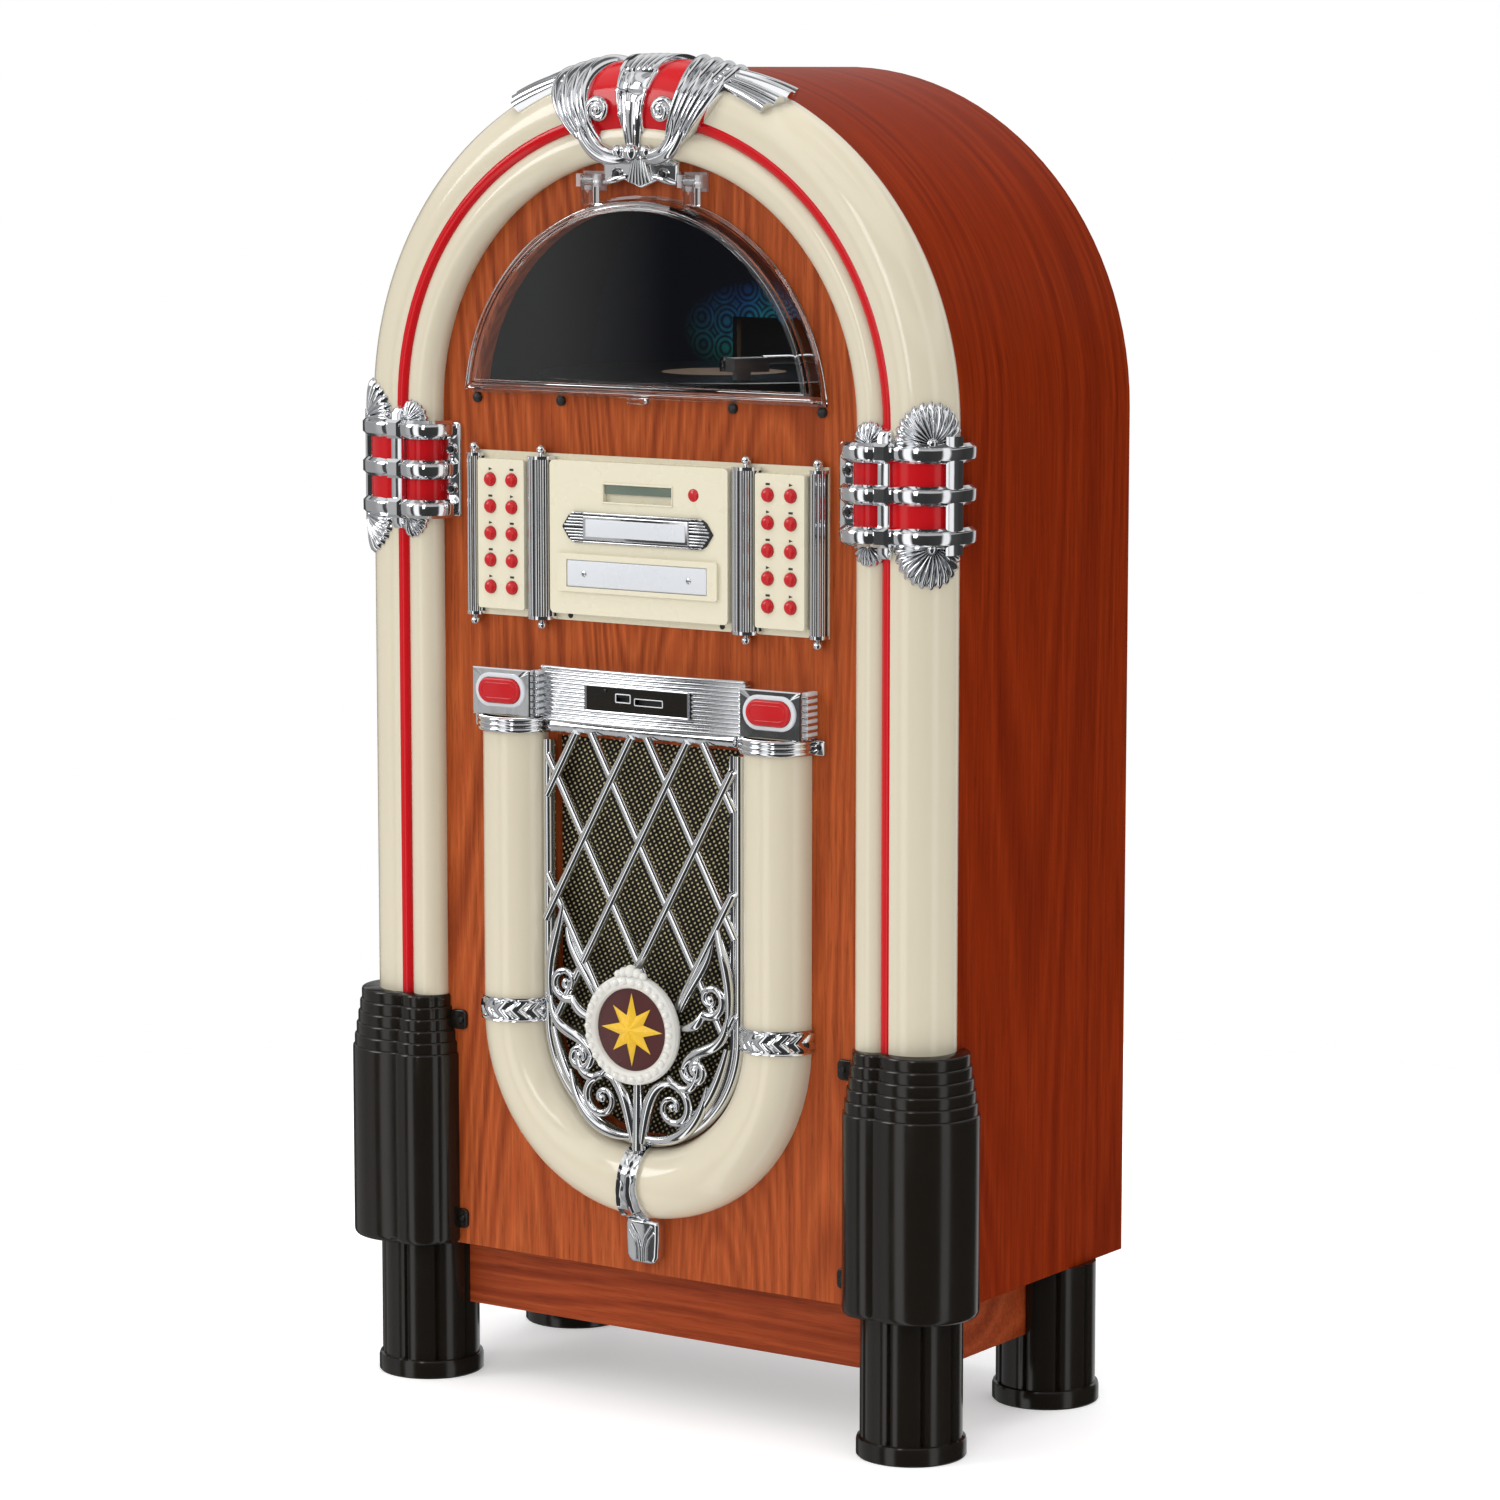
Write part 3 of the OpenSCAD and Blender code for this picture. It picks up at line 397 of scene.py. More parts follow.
def tube(points, radius, n=10, closed_path=False, flat=1.0, normal=None):
    """A round or flattened bar along a path. radius is a number or a function of 0..1."""
    rings = []
    m = len(points)
    up = normal or Vector(OUT)
    for i, p in enumerate(points):
        a = points[(i - 1) % m] if closed_path else points[max(i - 1, 0)]
        b = points[(i + 1) % m] if closed_path else points[min(i + 1, m - 1)]
        t = (b - a).normalized()
        side = t.cross(up)
        side = side.normalized() if side.length > 1e-6 else Vector((1, 0, 0))
        lift = side.cross(t).normalized()
        r = (radius(i / (m - 1)) if callable(radius) else radius) * MM
        rings.append([p + side * r * cos(q) + lift * r * flat * sin(q)
                      for q in (2 * pi * k / n for k in range(n))])
    return loft(rings, closed_path)


def lathe(centre, axis, profile, n=24):
    """Turns a profile of (radius, height) in mm about an axis, closed at both ends."""
    axis = Vector(axis).normalized()
    u = axis.orthogonal().normalized()
    w = axis.cross(u)
    rings = [[centre + axis * h * MM + (u * cos(q) + w * sin(q)) * max(r, 0.01) * MM
              for q in (2 * pi * k / n for k in range(n))] for r, h in profile]
    return loft(rings)


def ball(centre, r, n=16):
    return lathe(centre, (0, 0, 1), [(r * sin(pi * k / 10), -r * cos(pi * k / 10))
                                     for k in range(11)], n)


def inset(outline, d):
    """The outline moved inwards by d, corner by corner; anticlockwise loops in x and z."""
    out = []
    n = len(outline)
    for i, p in enumerate(outline):
        a, b = Vector(outline[i - 1]), Vector(outline[(i + 1) % n])
        p = Vector(p)
        e1, e2 = (p - a).normalized(), (b - p).normalized()
        n1, n2 = Vector((-e1.y, e1.x)), Vector((-e2.y, e2.x))
        k = n1 + n2
        k = k / max(k.dot(n1), 0.3) if k.length > 1e-6 else n1
        out.append(tuple(p + k * d))
    return out


def plate(outline, f0, f1, bevel=1.0, steps=3):
    """A flat piece standing on the panel from f0 to f1, with its front edge rounded."""
    rings = [level(outline, f0)]
    for k in range(steps + 1):
        q = pi / 2 * k / steps
        rings.append(level(inset(outline, bevel * (1 - cos(q))), f1 - bevel * (1 - sin(q))))
    return loft(rings)


def box_outline(x0, z0, x1, z1):
    return [(x0, z0), (x1, z0), (x1, z1), (x0, z1)]


def rounded(x0, z0, x1, z1, r, n=5):
    """A rectangle with its corners rounded."""
    corners = ((x1 - r, z0 + r, -90), (x1 - r, z1 - r, 0), (x0 + r, z1 - r, 90), (x0 + r, z0 + r, 180))
    return [p for cx, cz, a in corners for p in arc(cx, cz, r, a, a + 90, n)]


def stadium(cx, cz, w, h, n=10):
    """A rectangle with round ends, of half sizes w and h."""
    return [p for s, a in ((1, -90), (-1, 90)) for p in arc(cx + s * (w - h), cz, h, a, a + 180, n)]


def grid(fn, nu, nv, base):
    """A skin fn(u, v) with u and v from 0 to 1, closed underneath by base(u, v)."""
    verts, faces = [], []
    for g in (fn, base):
        for i in range(nu + 1):
            for j in range(nv + 1):
                verts.append(g(i / nu, j / nv))
    k = nv + 1
    total = (nu + 1) * k
    for i in range(nu):
        for j in range(nv):
            a = i * k + j
            faces.append((a, a + 1, a + k + 1, a + k))
            faces.append((total + a, total + a + k, total + a + k + 1, total + a + 1))
    for i in range(nu):
        for j in (0, nv):
            a = i * k + j
            faces.append((a, a + k, total + a + k, total + a))
    for j in range(nv):
        for i in (0, nu):
            a = i * k + j
            faces.append((a, total + a, total + a + 1, a + 1))
    return verts, faces


def skin(fn, nu, nv):
    """A closed relief: fn(u, v, 1) is its face and fn(u, v, 0) its back."""
    return grid(lambda u, v: fn(u, v, 1), nu, nv, lambda u, v: fn(u, v, 0))


def keep(name, mat, bevel=0.0):
    """Gives a CAD node its material, and softens its sharp edges."""
    o = NODES[name]
    o.data.materials.clear()
    o.data.materials.append(mat)
    if bevel:
        m = o.modifiers.new("edges", "BEVEL")
        m.width = bevel * MM
        m.segments = 2
        m.limit_method = "ANGLE"
        m.angle_limit = rad(50)
        m.harden_normals = True


def screw(b, x, f, z, r=2.8):
    """A cross-head screw seen from the front."""
    b.add(lathe(at(x, f, z), OUT, [(0, 0), (r, 0), (r, 0.6), (r * 0.75, 1.3), (0, 1.5)], 20), DARK_METAL)
    # dark raised cross: painted shade for the screw's cross recess
    for w, h in ((r * 0.62, r * 0.16), (r * 0.16, r * 0.62)):
        b.add(plate(box_outline(x - w, z - h, x + w, z + h), f + 1.2, f + 1.56, 0.1, 1), INK_AND_SHADE)


# ---- cabinet, legs and moulding ----

keep("cabinet_shell", WOOD_SIDE_SHADED, 1.2)
keep("front_panel", WOOD_FRONT, 0.6)
keep("back_panel", HARDBOARD, 0.4)
keep("plinth", WOOD_PLINTH, 0.8)
keep("speakers", SPEAKER_GREY)
keep("amplifier", GREEN_BOARD)
keep("cd_mechanism", STEEL)
keep("drive_motor", STEEL, 1)
keep("power_inlet", BLACK_MATT, 0.6)
keep("turntable_deck", BLACK_MATT, 0.5)
keep("backdrop", CARD)
keep("grille_cloth", CLOTH)
keep("red_trim", RED)

LOBES = ((214.5, 2.5, 15), (243.5, -14, 30))


def joined(circles, shrink=0.0, n=22):
    """Closed section of circles joined in a row round the cabinet's front corner, as (r, f) points."""
    circles = [(x, f, r - shrink) for x, f, r in circles]
    x, f, r = circles[0]
    angle = pi + asin(min(f / r, 1))
    pts = [polar(x, f, r, angle)]
    for i, (x, f, r) in enumerate(circles):
        if i + 1 < len(circles):
            x2, f2, r2 = circles[i + 1]
            d = hypot(x2 - x, f2 - f)
            a = (d * d + r * r - r2 * r2) / (2 * d)
            h = sqrt(max(r * r - a * a, 0.01))
            ux, uf = (x2 - x) / d, (f2 - f) / d
            px, pf = x + ux * a - uf * h, f + uf * a + ux * h
            end = atan2(pf - f, px - x)
        else:
            end = -acos((HALF - x) / r)
        if end > angle:
            end -= 2 * pi
        pts += [polar(x, f, r, angle + (end - angle) * k / n) for k in range(1, n + 1)]
        if i + 1 < len(circles):
            angle = atan2(pf - f2, px - x2)
    pts += [(HALF, pts[-1][1]), (HALF, 0.0)]
    return pts


def stack(section, levels, side):
    """Lofts section(shrink) up through (z, shrink) levels on one side."""
    return loft([[at(side * x, f, z) for x, f in section(s)] for z, s in levels])


clamp_box = box_mm("clamps")
boots_box = box_mm("corner_boots")
CLAMP_Z = (clamp_box[4] + clamp_box[5]) / 2
BOOT_TOP = boots_box[5]

lobe_section = joined(LOBES)
b = Build()
for side in (-1, 1):
    b.add(stack(lambda s: lobe_section, [(BASE_Z + 6, 0), (CLAMP_Z, 0)], side), CREAM)
b.done("columns_gloss", replaces=["columns"])

b = Build()
rings = [[at(-x, f, CLAMP_Z) for x, f in lobe_section]]
for k in range(97):
    q = pi - pi * k / 96
    rings.append([at(x * cos(q), f, ARCH_Z + x * sin(q)) for x, f in lobe_section])
rings.append([at(x, f, CLAMP_Z) for x, f in lobe_section])
b.add(loft(rings), CREAM)
b.done("arch_gloss", replaces=["arch_moulding"])

# turned legs with convex staves between grooves, and a foot ring
legs = box_mm("legs")
FOOT_R, FLUTES, STEPS = 43.2, 9, 12
FLUTE_TURN = rad(5)
SHAFT_Z, PLINTH_Z = 15.2, 60.3


def leg_ring(cx, f, z, grow, fluted):
    """One level of a leg; grow is how far it stands out past the foot's radius."""
    ring = []
    for k in range(FLUTES * STEPS):
        stave = 1.4 * (1 - abs(2 * (k % STEPS) / STEPS - 1) ** 5) - 1.3 - (2.2 if k % STEPS == 0 else 0)
        r = FOOT_R + grow + (stave if fluted else 0)
        ring.append(at(*polar(cx, f, r, 2 * pi * k / (FLUTES * STEPS) + FLUTE_TURN), z))
    return ring


b = Build()
for sx in (-1, 1):
    for f in (legs[3] - FOOT_R, legs[2] + FOOT_R):
        cx = sx * (legs[1] - FOOT_R)
        foot = [leg_ring(cx, f, z, grow, False)
                for z, grow in ((0, -1.0), (1.2, 0.0), (12, 0.0), (14.6, -0.8), (15.0, -2.6))]
        shaft = [leg_ring(cx, f, z, -3.0, True) for z in (SHAFT_Z, PLINTH_Z, BASE_Z)]
        b.add(loft(foot + shaft[:2]), BLACK)
        b.add(loft(shaft[1:]), BLACK)
b.done("legs_turned", replaces=["legs"])

# boots: stepped rings at the top, rounded edge at the bottom
BOOT = ((214.5, 2.5, 25), (219.5, 8, 26), (250, -10, 45))
b = Build()
straight = BOOT_TOP - 47.5
levels = [(BASE_Z, 3.2), (BASE_Z + 0.8, 1.6), (BASE_Z + 2.4, 0.4), (BASE_Z + 5, 0)]
for i in range(6):
    z0 = straight + (i - 1) * 9.5 if i else BASE_Z + 5
    z1 = straight + i * 9.5
    s = 1.55 * i
    if i:
        levels += [(z0 + 0.05, s + 0.1), (z0 + 0.9, s)]
    levels += [(z1 - 1.8, s), (z1 - 0.7, s + 0.35), (z1, s + 1.3)]
for side in (-1, 1):
    b.add(stack(lambda s: joined(BOOT, s), levels, side), BLACK)
for side in (-1, 1):
    for z in (301, 136):
        x0, x1 = (180, 196) if side > 0 else (-196, -180)
        b.add(plate(rounded(x0, z - 8, x1, z + 8, 4), 0, 2.5, 1), BLACK)
b.done("boots_stepped", replaces=["corner_boots"])

# ---- clamps ----

CLAMP = ((212, 3, 26), (247, -17, 38.5))
BEAD_X = 232
PITCH = 31.8
# half of a ring's section, as (height from its middle, shrink)
RING = ((3.9, 0), (4.3, 0.2), (4.6, 1.0), (4.9, 1.0), (7.4, 3.6), (7.5, 5.0))
BAR = ((-5.6, 0), (5.6, 0), (5.6, 19.5), (4.0, 21.8), (0, 22.6), (-4.0, 21.8), (-5.6, 19.5))
OUTER_BAR = ((30, 7), (35.0, 7), (36.6, 9), (37.2, 14), (37.5, 20), (37.2, 26), (36.6, 31), (35.0, 33), (30, 33))
EYELET = [(0, 0), (5.6, 0), (5.2, 1.6), (4.2, 2.3), (3.4, 1.6), (0, 1.5)]
b = Build()


def chamfered(x0, x1, f0, f1, z0, z1, c):
    """A block standing on the panel whose outward edges are cut back by c."""
    return loft([level(box_outline(x0 + e, z0 + e, x1 - e, z1 - e), f)
                 for f, e in ((f0, 0), (f1 - c, 0), (f1, c))])


for side in (-1, 1):
    for i in (-1, 0, 1):
        z = CLAMP_Z + i * PITCH
        levels = [(z - h, s) for h, s in RING[::-1]] + [(z + h, s) for h, s in RING]
        b.add(stack(lambda s: joined(CLAMP, s), levels, side))
        # the block where the ring crosses the bar
        b.add(chamfered(side * BEAD_X - 7, side * BEAD_X + 7, 4, 26.6, z - 7.7, z + 7.7, 2.6))
    # bar over the red bead
    x = side * BEAD_X
    b.add(loft([[at(x + u * e, v * e, CLAMP_Z + k) for u, v in BAR]
                for k, e in ((-51, 0.55), (-48, 0.9), (-44, 1), (44, 1), (48, 0.9), (51, 0.55))]))
    # bar near the rings' outer ends
    outer_bar = [polar(*CLAMP[1][:2], rho, rad(a)) for rho, a in OUTER_BAR]
    b.add(loft([[at(side * x, f, CLAMP_Z + k) for x, f in outer_bar] for k in (-PITCH - 13, PITCH + 13)]))
    # plate with screws on the front panel
    x0, x1 = (181, 200) if side > 0 else (-200, -181)
    b.add(plate(rounded(x0, CLAMP_Z - PITCH - 6, x1, CLAMP_Z + PITCH + 6, 3), 0, 2.6, 1))
    for i in (-0.5, 0.5):
        z = CLAMP_Z + i * PITCH
        b.add(lathe(at(side * 189.5, 2.4, z), OUT, EYELET, 24))
        screw(b, side * 189.5, 3.9, z)
b.done("clamp_rings")


def scallop(side, lobe, direction, r, s, ribs, rise=5.6):
    """A scallop shell on a lobe: ribs fan out from the end ring, up (s = 1) or down (s = -1)."""
    cx, cf, cr = lobe
    z0 = CLAMP_Z + s * (PITCH + 6.5)

    def point(u, v, lift):
        q = pi * u
        rib = abs(sin(pi * ribs * u))
        rho = r * (0.10 + 0.90 * v) * (0.96 + 0.08 * rib * v ** 4)
        across = rho * cos(q)
        up = rho * sin(q) + 0.4
        a = direction + across / (cr + 2)
        dome = sqrt(max(1 - v ** 4, 0))
        h = lift * (0.6 + rise * dome * (0.25 + 0.75 * rib ** 0.8))
        x, f = polar(cx, cf, cr + h, a)
        return at(side * x, f, z0 + s * up)

    b.add(skin(point, ribs * 8, 14))
    x, f = polar(cx, cf, cr + 2, direction)
    b.add(ball(at(side * x, f, z0 + s * 1.5), r * 0.16))


b = Build()
for side in (-1, 1):
    for s in (-1, 1):
        scallop(side, LOBES[1], rad(42), 31, s, 13)
        scallop(side, LOBES[0], rad(76), 16.5, s, 9, 4.6)
b.done("clamp_scallops", replaces=["clamps"])

# ---- crest ----

DOME_R, DOME_F, DOME_S = 238, -19, 38


def crest_point(theta, phi, h):
    """A point over the crown: theta round the arch, phi round the moulding, h above the dome."""
    s = DOME_S + h
    r = DOME_R + s * cos(rad(phi))
    return at(r * sin(rad(theta)), DOME_F + s * sin(rad(phi)), ARCH_Z + r * cos(rad(theta)))


def bezier(t, *k):
    a = 1 - t
    return a ** 3 * k[0] + 3 * a * a * t * k[1] + 3 * a * t * t * k[2] + t ** 3 * k[3]


b = Build()


def strap(u, v, lift):
    """The middle strap: framed panes low down, and a comb of fine ribs over the back."""
    phi = 152 - 176 * v
    half = 2.1 + 3.3 * v ** 1.2
    w = 2 * u - 1
    frame_line = max(0, (abs(w) - 0.76) / 0.24)
    h = 0.4 + 3.0 * sin(pi * min(frame_line, 1)) ** 0.6 if frame_line > 0 else 0.4
    if v < 0.62:
        column = (w + 0.30) / 0.46 if w < -0.30 else (w + 0.30) / 1.06
        row = (v * 6.5) % 1.0 * 2 - 1
        h += 2.4 * max(0, 1 - abs(w + 0.30) / 0.10)
        h += 2.4 * max(0, (abs(row) - 0.80) / 0.20)
        h += 1.5 * (1 - row * row) * max(0, 1 - (abs(column) * 2 - 1) ** 2)
    else:
        h += 3.2 * abs(sin(pi * 3.5 * (w + 1))) ** 0.6
    return crest_point(w * half, phi, min(h, 3.7) if lift else -2.5)


b.add(skin(strap, 72, 130))


def ridge(u, count):
    return abs(sin(pi * count * u)) ** 0.65


def wing(side):
    """Broad feathers that sweep over the crown from the beads, with staggered tips behind it."""

    def point(u, v, lift):
        theta = bezier(v, 2.5 + 1.5 * u, 9.5 + 6.5 * u, 12.0 + 9.0 * u, 5.5 + 10.5 * u)
        stagger = 12 * abs(sin(pi * 4 * u)) ** 0.5 - 16 * u
        phi = bezier(v, 164 - 6 * u, 132 - 4 * u, 66 - 4 * u, -26 - stagger)
        swell = sin(pi * min(v * 0.82 + 0.14, 1)) ** 0.5
        h = 0.4 + (6.5 + 2.0 * v) * ridge(u, 4) * swell
        limit = 3.6 / max(cos(rad(phi)), 0.2) + 0.9 * abs(theta)
        return crest_point(side * theta, phi, min(h, limit) if lift else -3)

    return skin(point, 40, 48)


def tail(side):
    """A fishtail of four ridges that runs out along the arch and ends bluntly."""

    def point(u, v, lift):
        theta = 14.0 + 13.5 * v - 1.2 * v * abs(2 * u - 0.9) ** 1.5
        half = 15 + 17 * v ** 0.8
        phi = 30 - 8 * v + (2 * u - 1) * half
        h = 0.6 + (3.4 + 3.0 * v) * ridge(u, 4)
        return crest_point(side * theta, phi, h if lift else -4)

    return skin(point, 40, 20)


for side in (-1, 1):
    b.add(wing(side))
    b.add(tail(side))
b.done("crest_feathers", replaces=["crest"])

b = Build()


def spiral(cx, cz, r0, r1, a0, turns, f, n):
    """A scroll that winds in from r0 to r1, from angle a0; negative turns wind clockwise."""
    pts = []
    for k in range(n + 1):
        t = k / n
        r = r0 + (r1 - r0) * t ** 0.8
        q = rad(a0) + 2 * pi * turns * t
        x, z = polar(cx, cz, r, q)
        pts.append(at(x, f, z))
    return pts


def curve(points, n, steps=None):
    """(t, x, z) along a curve with four control points, at t = 0, 1 / n and so on."""
    return [(k / n, *(bezier(k / n, *(p[i] for p in points)) for i in (0, 1)))
            for k in range(n + 1 if steps is None else steps)]


for side in (-1, 1):
    # a stem from the beads that curls into a volute
    stem = [at(side * x, 17 + 4 * sin(pi * t / 2), z)
            for t, x, z in curve(((10, 1003), (26, 998), (44, 1014), (39.6, 1033)), 16, 16)]
    roll = []
    for k in range(45):
        t = k / 44
        x, z = polar(30, 1035, 10 - 7.6 * t ** 0.8, rad(-12 + 560 * t))
        roll.append(at(side * x, 21 + 2.5 * t, z))
    b.add(tube(stem + roll, lambda t: 3.6 - 1.2 * t, 14))
    b.add(ball(at(side * 29.5, 24, 1035.4), 3.2))
    # a second, lower feather beside the stem
    leaf_path = [at(side * x, 15 + 6 * sin(pi * t * 20 / 26), z)
                 for t, x, z in curve(((8, 999), (30, 990), (52, 1010), (50, 1034)), 20)]
    b.add(tube(leaf_path, lambda t: 1.0 + 3.4 * sin(pi * (0.12 + 0.86 * t)) ** 0.7, 14))
    b.add(ball(at(side * 13, 18.5, 1004), 5.2))
    b.add(ball(at(side * 22, 16, 1002), 3.8))
b.add(ball(at(0, 20, 1003), 7.2))
# the strap's foot, which runs down between the volutes to the beads
FOOT_STEPS = [(1.6 * sin(pi * k / 12), 1041 - 2.9 * k, 11.5 - 5.0 * k / 12) for k in range(13)]
b.add(tube([at(0, 17.2 + f, z) for f, z, _ in FOOT_STEPS], lambda t: 11.5 - 5.0 * t, 16, False, 0.42))
for s in (-0.36, 0.36):
    b.add(tube([at(s * half * 1.4, 20.6 + f, z) for f, z, half in FOOT_STEPS], 1.2, 8))
# bow under the beads: a fluted middle and two folded petals with a screw each
bow = [(-35, 977), (-18, 982), (0, 975), (18, 982), (35, 977),
       (36, 996), (24, 1003), (0, 1008), (-24, 1003), (-36, 996)]
b.add(plate(bow, 0, 8, 2.5, 4))
for k in range(-3, 4):
    flute = [at(k * 3.4, 8.0, 977.5 + abs(k)), at(k * 2.7, 9.2, 986), at(k * 1.7, 9.6, 997)]
    b.add(tube(flute, lambda t: 2.1 - 0.5 * t, 10))
PETALS = (((12, 1000), (20, 998), (28, 999), (35, 994)), ((13, 984), (20, 983.5), (27, 980), (34.5, 979.5)))
BOSS = [(0, 0), (5.2, 0), (5.0, 1.8), (4.0, 2.4), (3.2, 1.2), (0, 1.0)]
for side in (-1, 1):
    for path in PETALS:
        b.add(tube([at(side * x, 8.2, z) for _, x, z in curve(path, 10)],
                   lambda t: 1.2 + 1.6 * sin(pi * (0.1 + 0.8 * t)), 10))
    b.add(lathe(at(side * 22, 7.6, 986), OUT, BOSS, 24))
    screw(b, side * 22, 8.7, 986, 2.4)
b.done("crest_scrolls")

# ---- window ----

cover = box_mm("window_cover")
COVER_R, COVER_Z = cover[1], cover[4] + 3.5


def half_disc(r, z0, n=60):
    a = asin((z0 - ARCH_Z) / r)
    return [polar(0, ARCH_Z, r, a + (pi - 2 * a) * k / n) for k in range(n + 1)]


# the cover's rim, from the panel out to its face, as (radius, lower edge, f)
RIM = [(COVER_R - d, COVER_Z + up, f) for d, up, f in (
    (0, 0, 1.6), (0, 0, 3.6), (2.2, 2.0, 4.6), (3.0, 2.8, 14.5),
    (4.2, 4, 17.2), (7, 6.5, 18.2), (8, 7.5, 17.4), (9.5, 9, 17.9))]
WALL = 2.2


def shrunk(t, f):
    """The half disc drawn in towards its middle, for the cover's face."""
    mid = ARCH_Z + 85
    return [at(x * t, f, mid + (z - mid) * t) for x, z in half_disc(COVER_R - 9.5, COVER_Z + 9)]


b = Build()
outer = [level(half_disc(r, z), f) for r, z, f in RIM]
inner = [level(half_disc(r - WALL, z + WALL), f - 1.8 if f > 5 else f) for r, z, f in RIM]
outer += [shrunk(t, 18.3) for t in (0.985, 0.97, 0.5, 0.0004)]
inner += [shrunk(t, 16.3) for t in (0.975, 0.96, 0.5, 0.0004)]
b.add(loft(outer + inner[::-1], True), CLEAR)
for side in (-1, 1):
    b.add(lathe(at(side * 42.2, 8, 981), (side, 0, 0), [(2.1, 0), (4.4, 0), (4.4, 11.6), (2.1, 11.6)], 24), CLEAR)
    b.add(plate(rounded(side * 48 - 5.8, 962, side * 48 + 5.8, 978, 1), 4, 12, 1), CLEAR)
b.add(plate(rounded(-8.5, COVER_Z - 3.4, 8.5, COVER_Z + 1, 1.5), 8, 16, 1), CLEAR)
b.done("cover_clear", "cover", replaces=["window_cover"])
keep("hinge_brackets", CLEAR_BRACKET, 0.6)
b = Build()
for side in (-1, 1):
    for x in (164.5, 82):
        b.add(lathe(at(side * x, 0, COVER_Z - 4.5), OUT,
                    [(0, 0), (4, 0), (4, 2.4), (2.6, 3.6), (0, 3.8)], 20), BLACK_MATT)
b.done("cover_bumpers")

# ---- record deck ----

record = box_mm("record")
rx, rf, rz = (record[0] + record[1]) / 2, (record[2] + record[3]) / 2, record[5]
spindle = at(rx, rf, 0)
VINYL = record_material(spindle.x, spindle.y)
LABEL = plastic("record_label", (0.30, 0.21, 0.15), 0.4, 0.1)
b = Build()
profile = [(3.7, -2), (149, -2), (150, -1.5), (150, -0.8), (149.2, -0.2), (146, -0.15),
           (145, -0.4), (56, -0.4), (55, -0.15), (51, -0.15), (50.5, 0), (3.7, 0)]
b.add(lathe(at(rx, rf, rz), (0, 0, 1), profile + [profile[0]], 128), VINYL)
b.add(lathe(at(rx, rf, rz), (0, 0, 1),
            [(3.8, 0.0), (50, 0.0), (50, 0.12), (3.8, 0.12), (3.8, 0.0)], 96), LABEL)
b.done("record_grooved", "turntable", replaces=["record"])
keep("platter", DARK_METAL)
keep("tonearm_turret", BLACK_MATT, 0.6)
keep("tonearm", STEEL, 0.8)

# ---- control unit ----

housing = box_mm("control_housing")
UZ0, UZ1 = housing[4], housing[5] - 4
keep("control_housing", CREAM_SATIN, 0.9)
door = box_mm("cd_tray")
badge = box_mm("badge_plate")
bz = (badge[4] + badge[5]) / 2
lcd = box_mm("display_lenses")

# round buttons: a red cap with a bevelled rim and a slight crown
for i in range(1, 21):
    name = "button_%d" % i
    x0, x1, f0, f1, z0, z1 = box_mm(name)
    r = (x1 - x0) / 2
    b = Build()
    h = f1 - f0
    prof = [(0, 0), (r - 0.3, 0), (r - 0.3, 0.4), (r, 0.8), (r, h - 2.6), (r - 0.5, h - 1.8),
            (r - 1.5, h - 0.8), (r - 1.9, h - 0.5), (r * 0.4, h - 0.1), (0, h)]
    b.add(lathe(at((x0 + x1) / 2, f0, (z0 + z1) / 2), OUT, prof, 28), BUTTON_RED)
    b.done("cap_%d" % i, name, replaces=[name])

# reeded pillars with ball ends
FINIAL = [(0, -0.5), (2.4, -0.5), (2.4, 0.8), (1.6, 1.4), (3.0, 2.4), (3.9, 4.0),
          (4.1, 5.4), (3.4, 7.2), (1.8, 8.3), (0, 8.6)]
b = Build()
for side in (-1, 1):
    for cx, pr, reeds in ((97.9, 12, 8), (164.1, 7.2, 5)):
        n = reeds * 8
        reeded = [polar(cx, 5, pr - 1.5 + 1.5 * abs(sin(pi * k / 8)) ** 0.7, pi * k / n) for k in range(n + 1)]
        reeded += [(cx - pr + 1.5, 2.1), (cx + pr - 1.5, 2.1)]
        core = arc(cx, 5, pr - 0.9, 0, 180, 32) + [(cx - pr + 1.0, 2.05), (cx + pr - 1.0, 2.05)]
        cap = arc(cx, 5, pr + 0.4, 0, 180, 24) + [(cx - pr, 2.1), (cx + pr, 2.1)]

        def column(section, z0, z1):
            return loft([[at(side * x, f, z) for x, f in section] for z in (z0, z1)])

        b.add(column(reeded, UZ0 + 1, UZ1 + 1))
        # dark core that shows in the grooves between the reeds: painted shade in the grooves
        b.add(column(core, UZ0 + 1.4, UZ1 + 0.6), INK_AND_SHADE)
        for z, s in ((UZ0, -1), (UZ1 + 2, 1)):
            b.add(column(cap, z, z - s * 2.6))
            b.add(lathe(at(side * cx, 6, z), (0, 0, s), FINIAL, 20))
b.done("pillars_reeded", replaces=["reeded_pillars"])

# display, lens, badge and disc door
b = Build()
b.add(plate(rounded(lcd[0] + 0.2, lcd[4] + 6.2, 32.4, lcd[5] - 0.1, 1.2), 9.2, 12.0, 0.6), LCD)
for x0, x1, z0, z1 in ((-33.6, 33.6, 744.6, 746), (-33.6, 33.6, 729.6, 731),
                       (-33.6, -32.6, 730, 745), (32.6, 33.6, 730, 745)):
    b.add(plate(rounded(x0, z0, x1, z1, 0.4, 2), 12.6, 13.8, 0.4), CREAM_SATIN)
b.add(lathe(at(53, 9.2, 740), OUT, [(0, 0), (4.9, 0), (4.9, 4.0), (4.2, 4.5), (0, 4.9)], 28),
      BUTTON_RED)
b.done("display_and_lens", replaces=["display_lenses"])

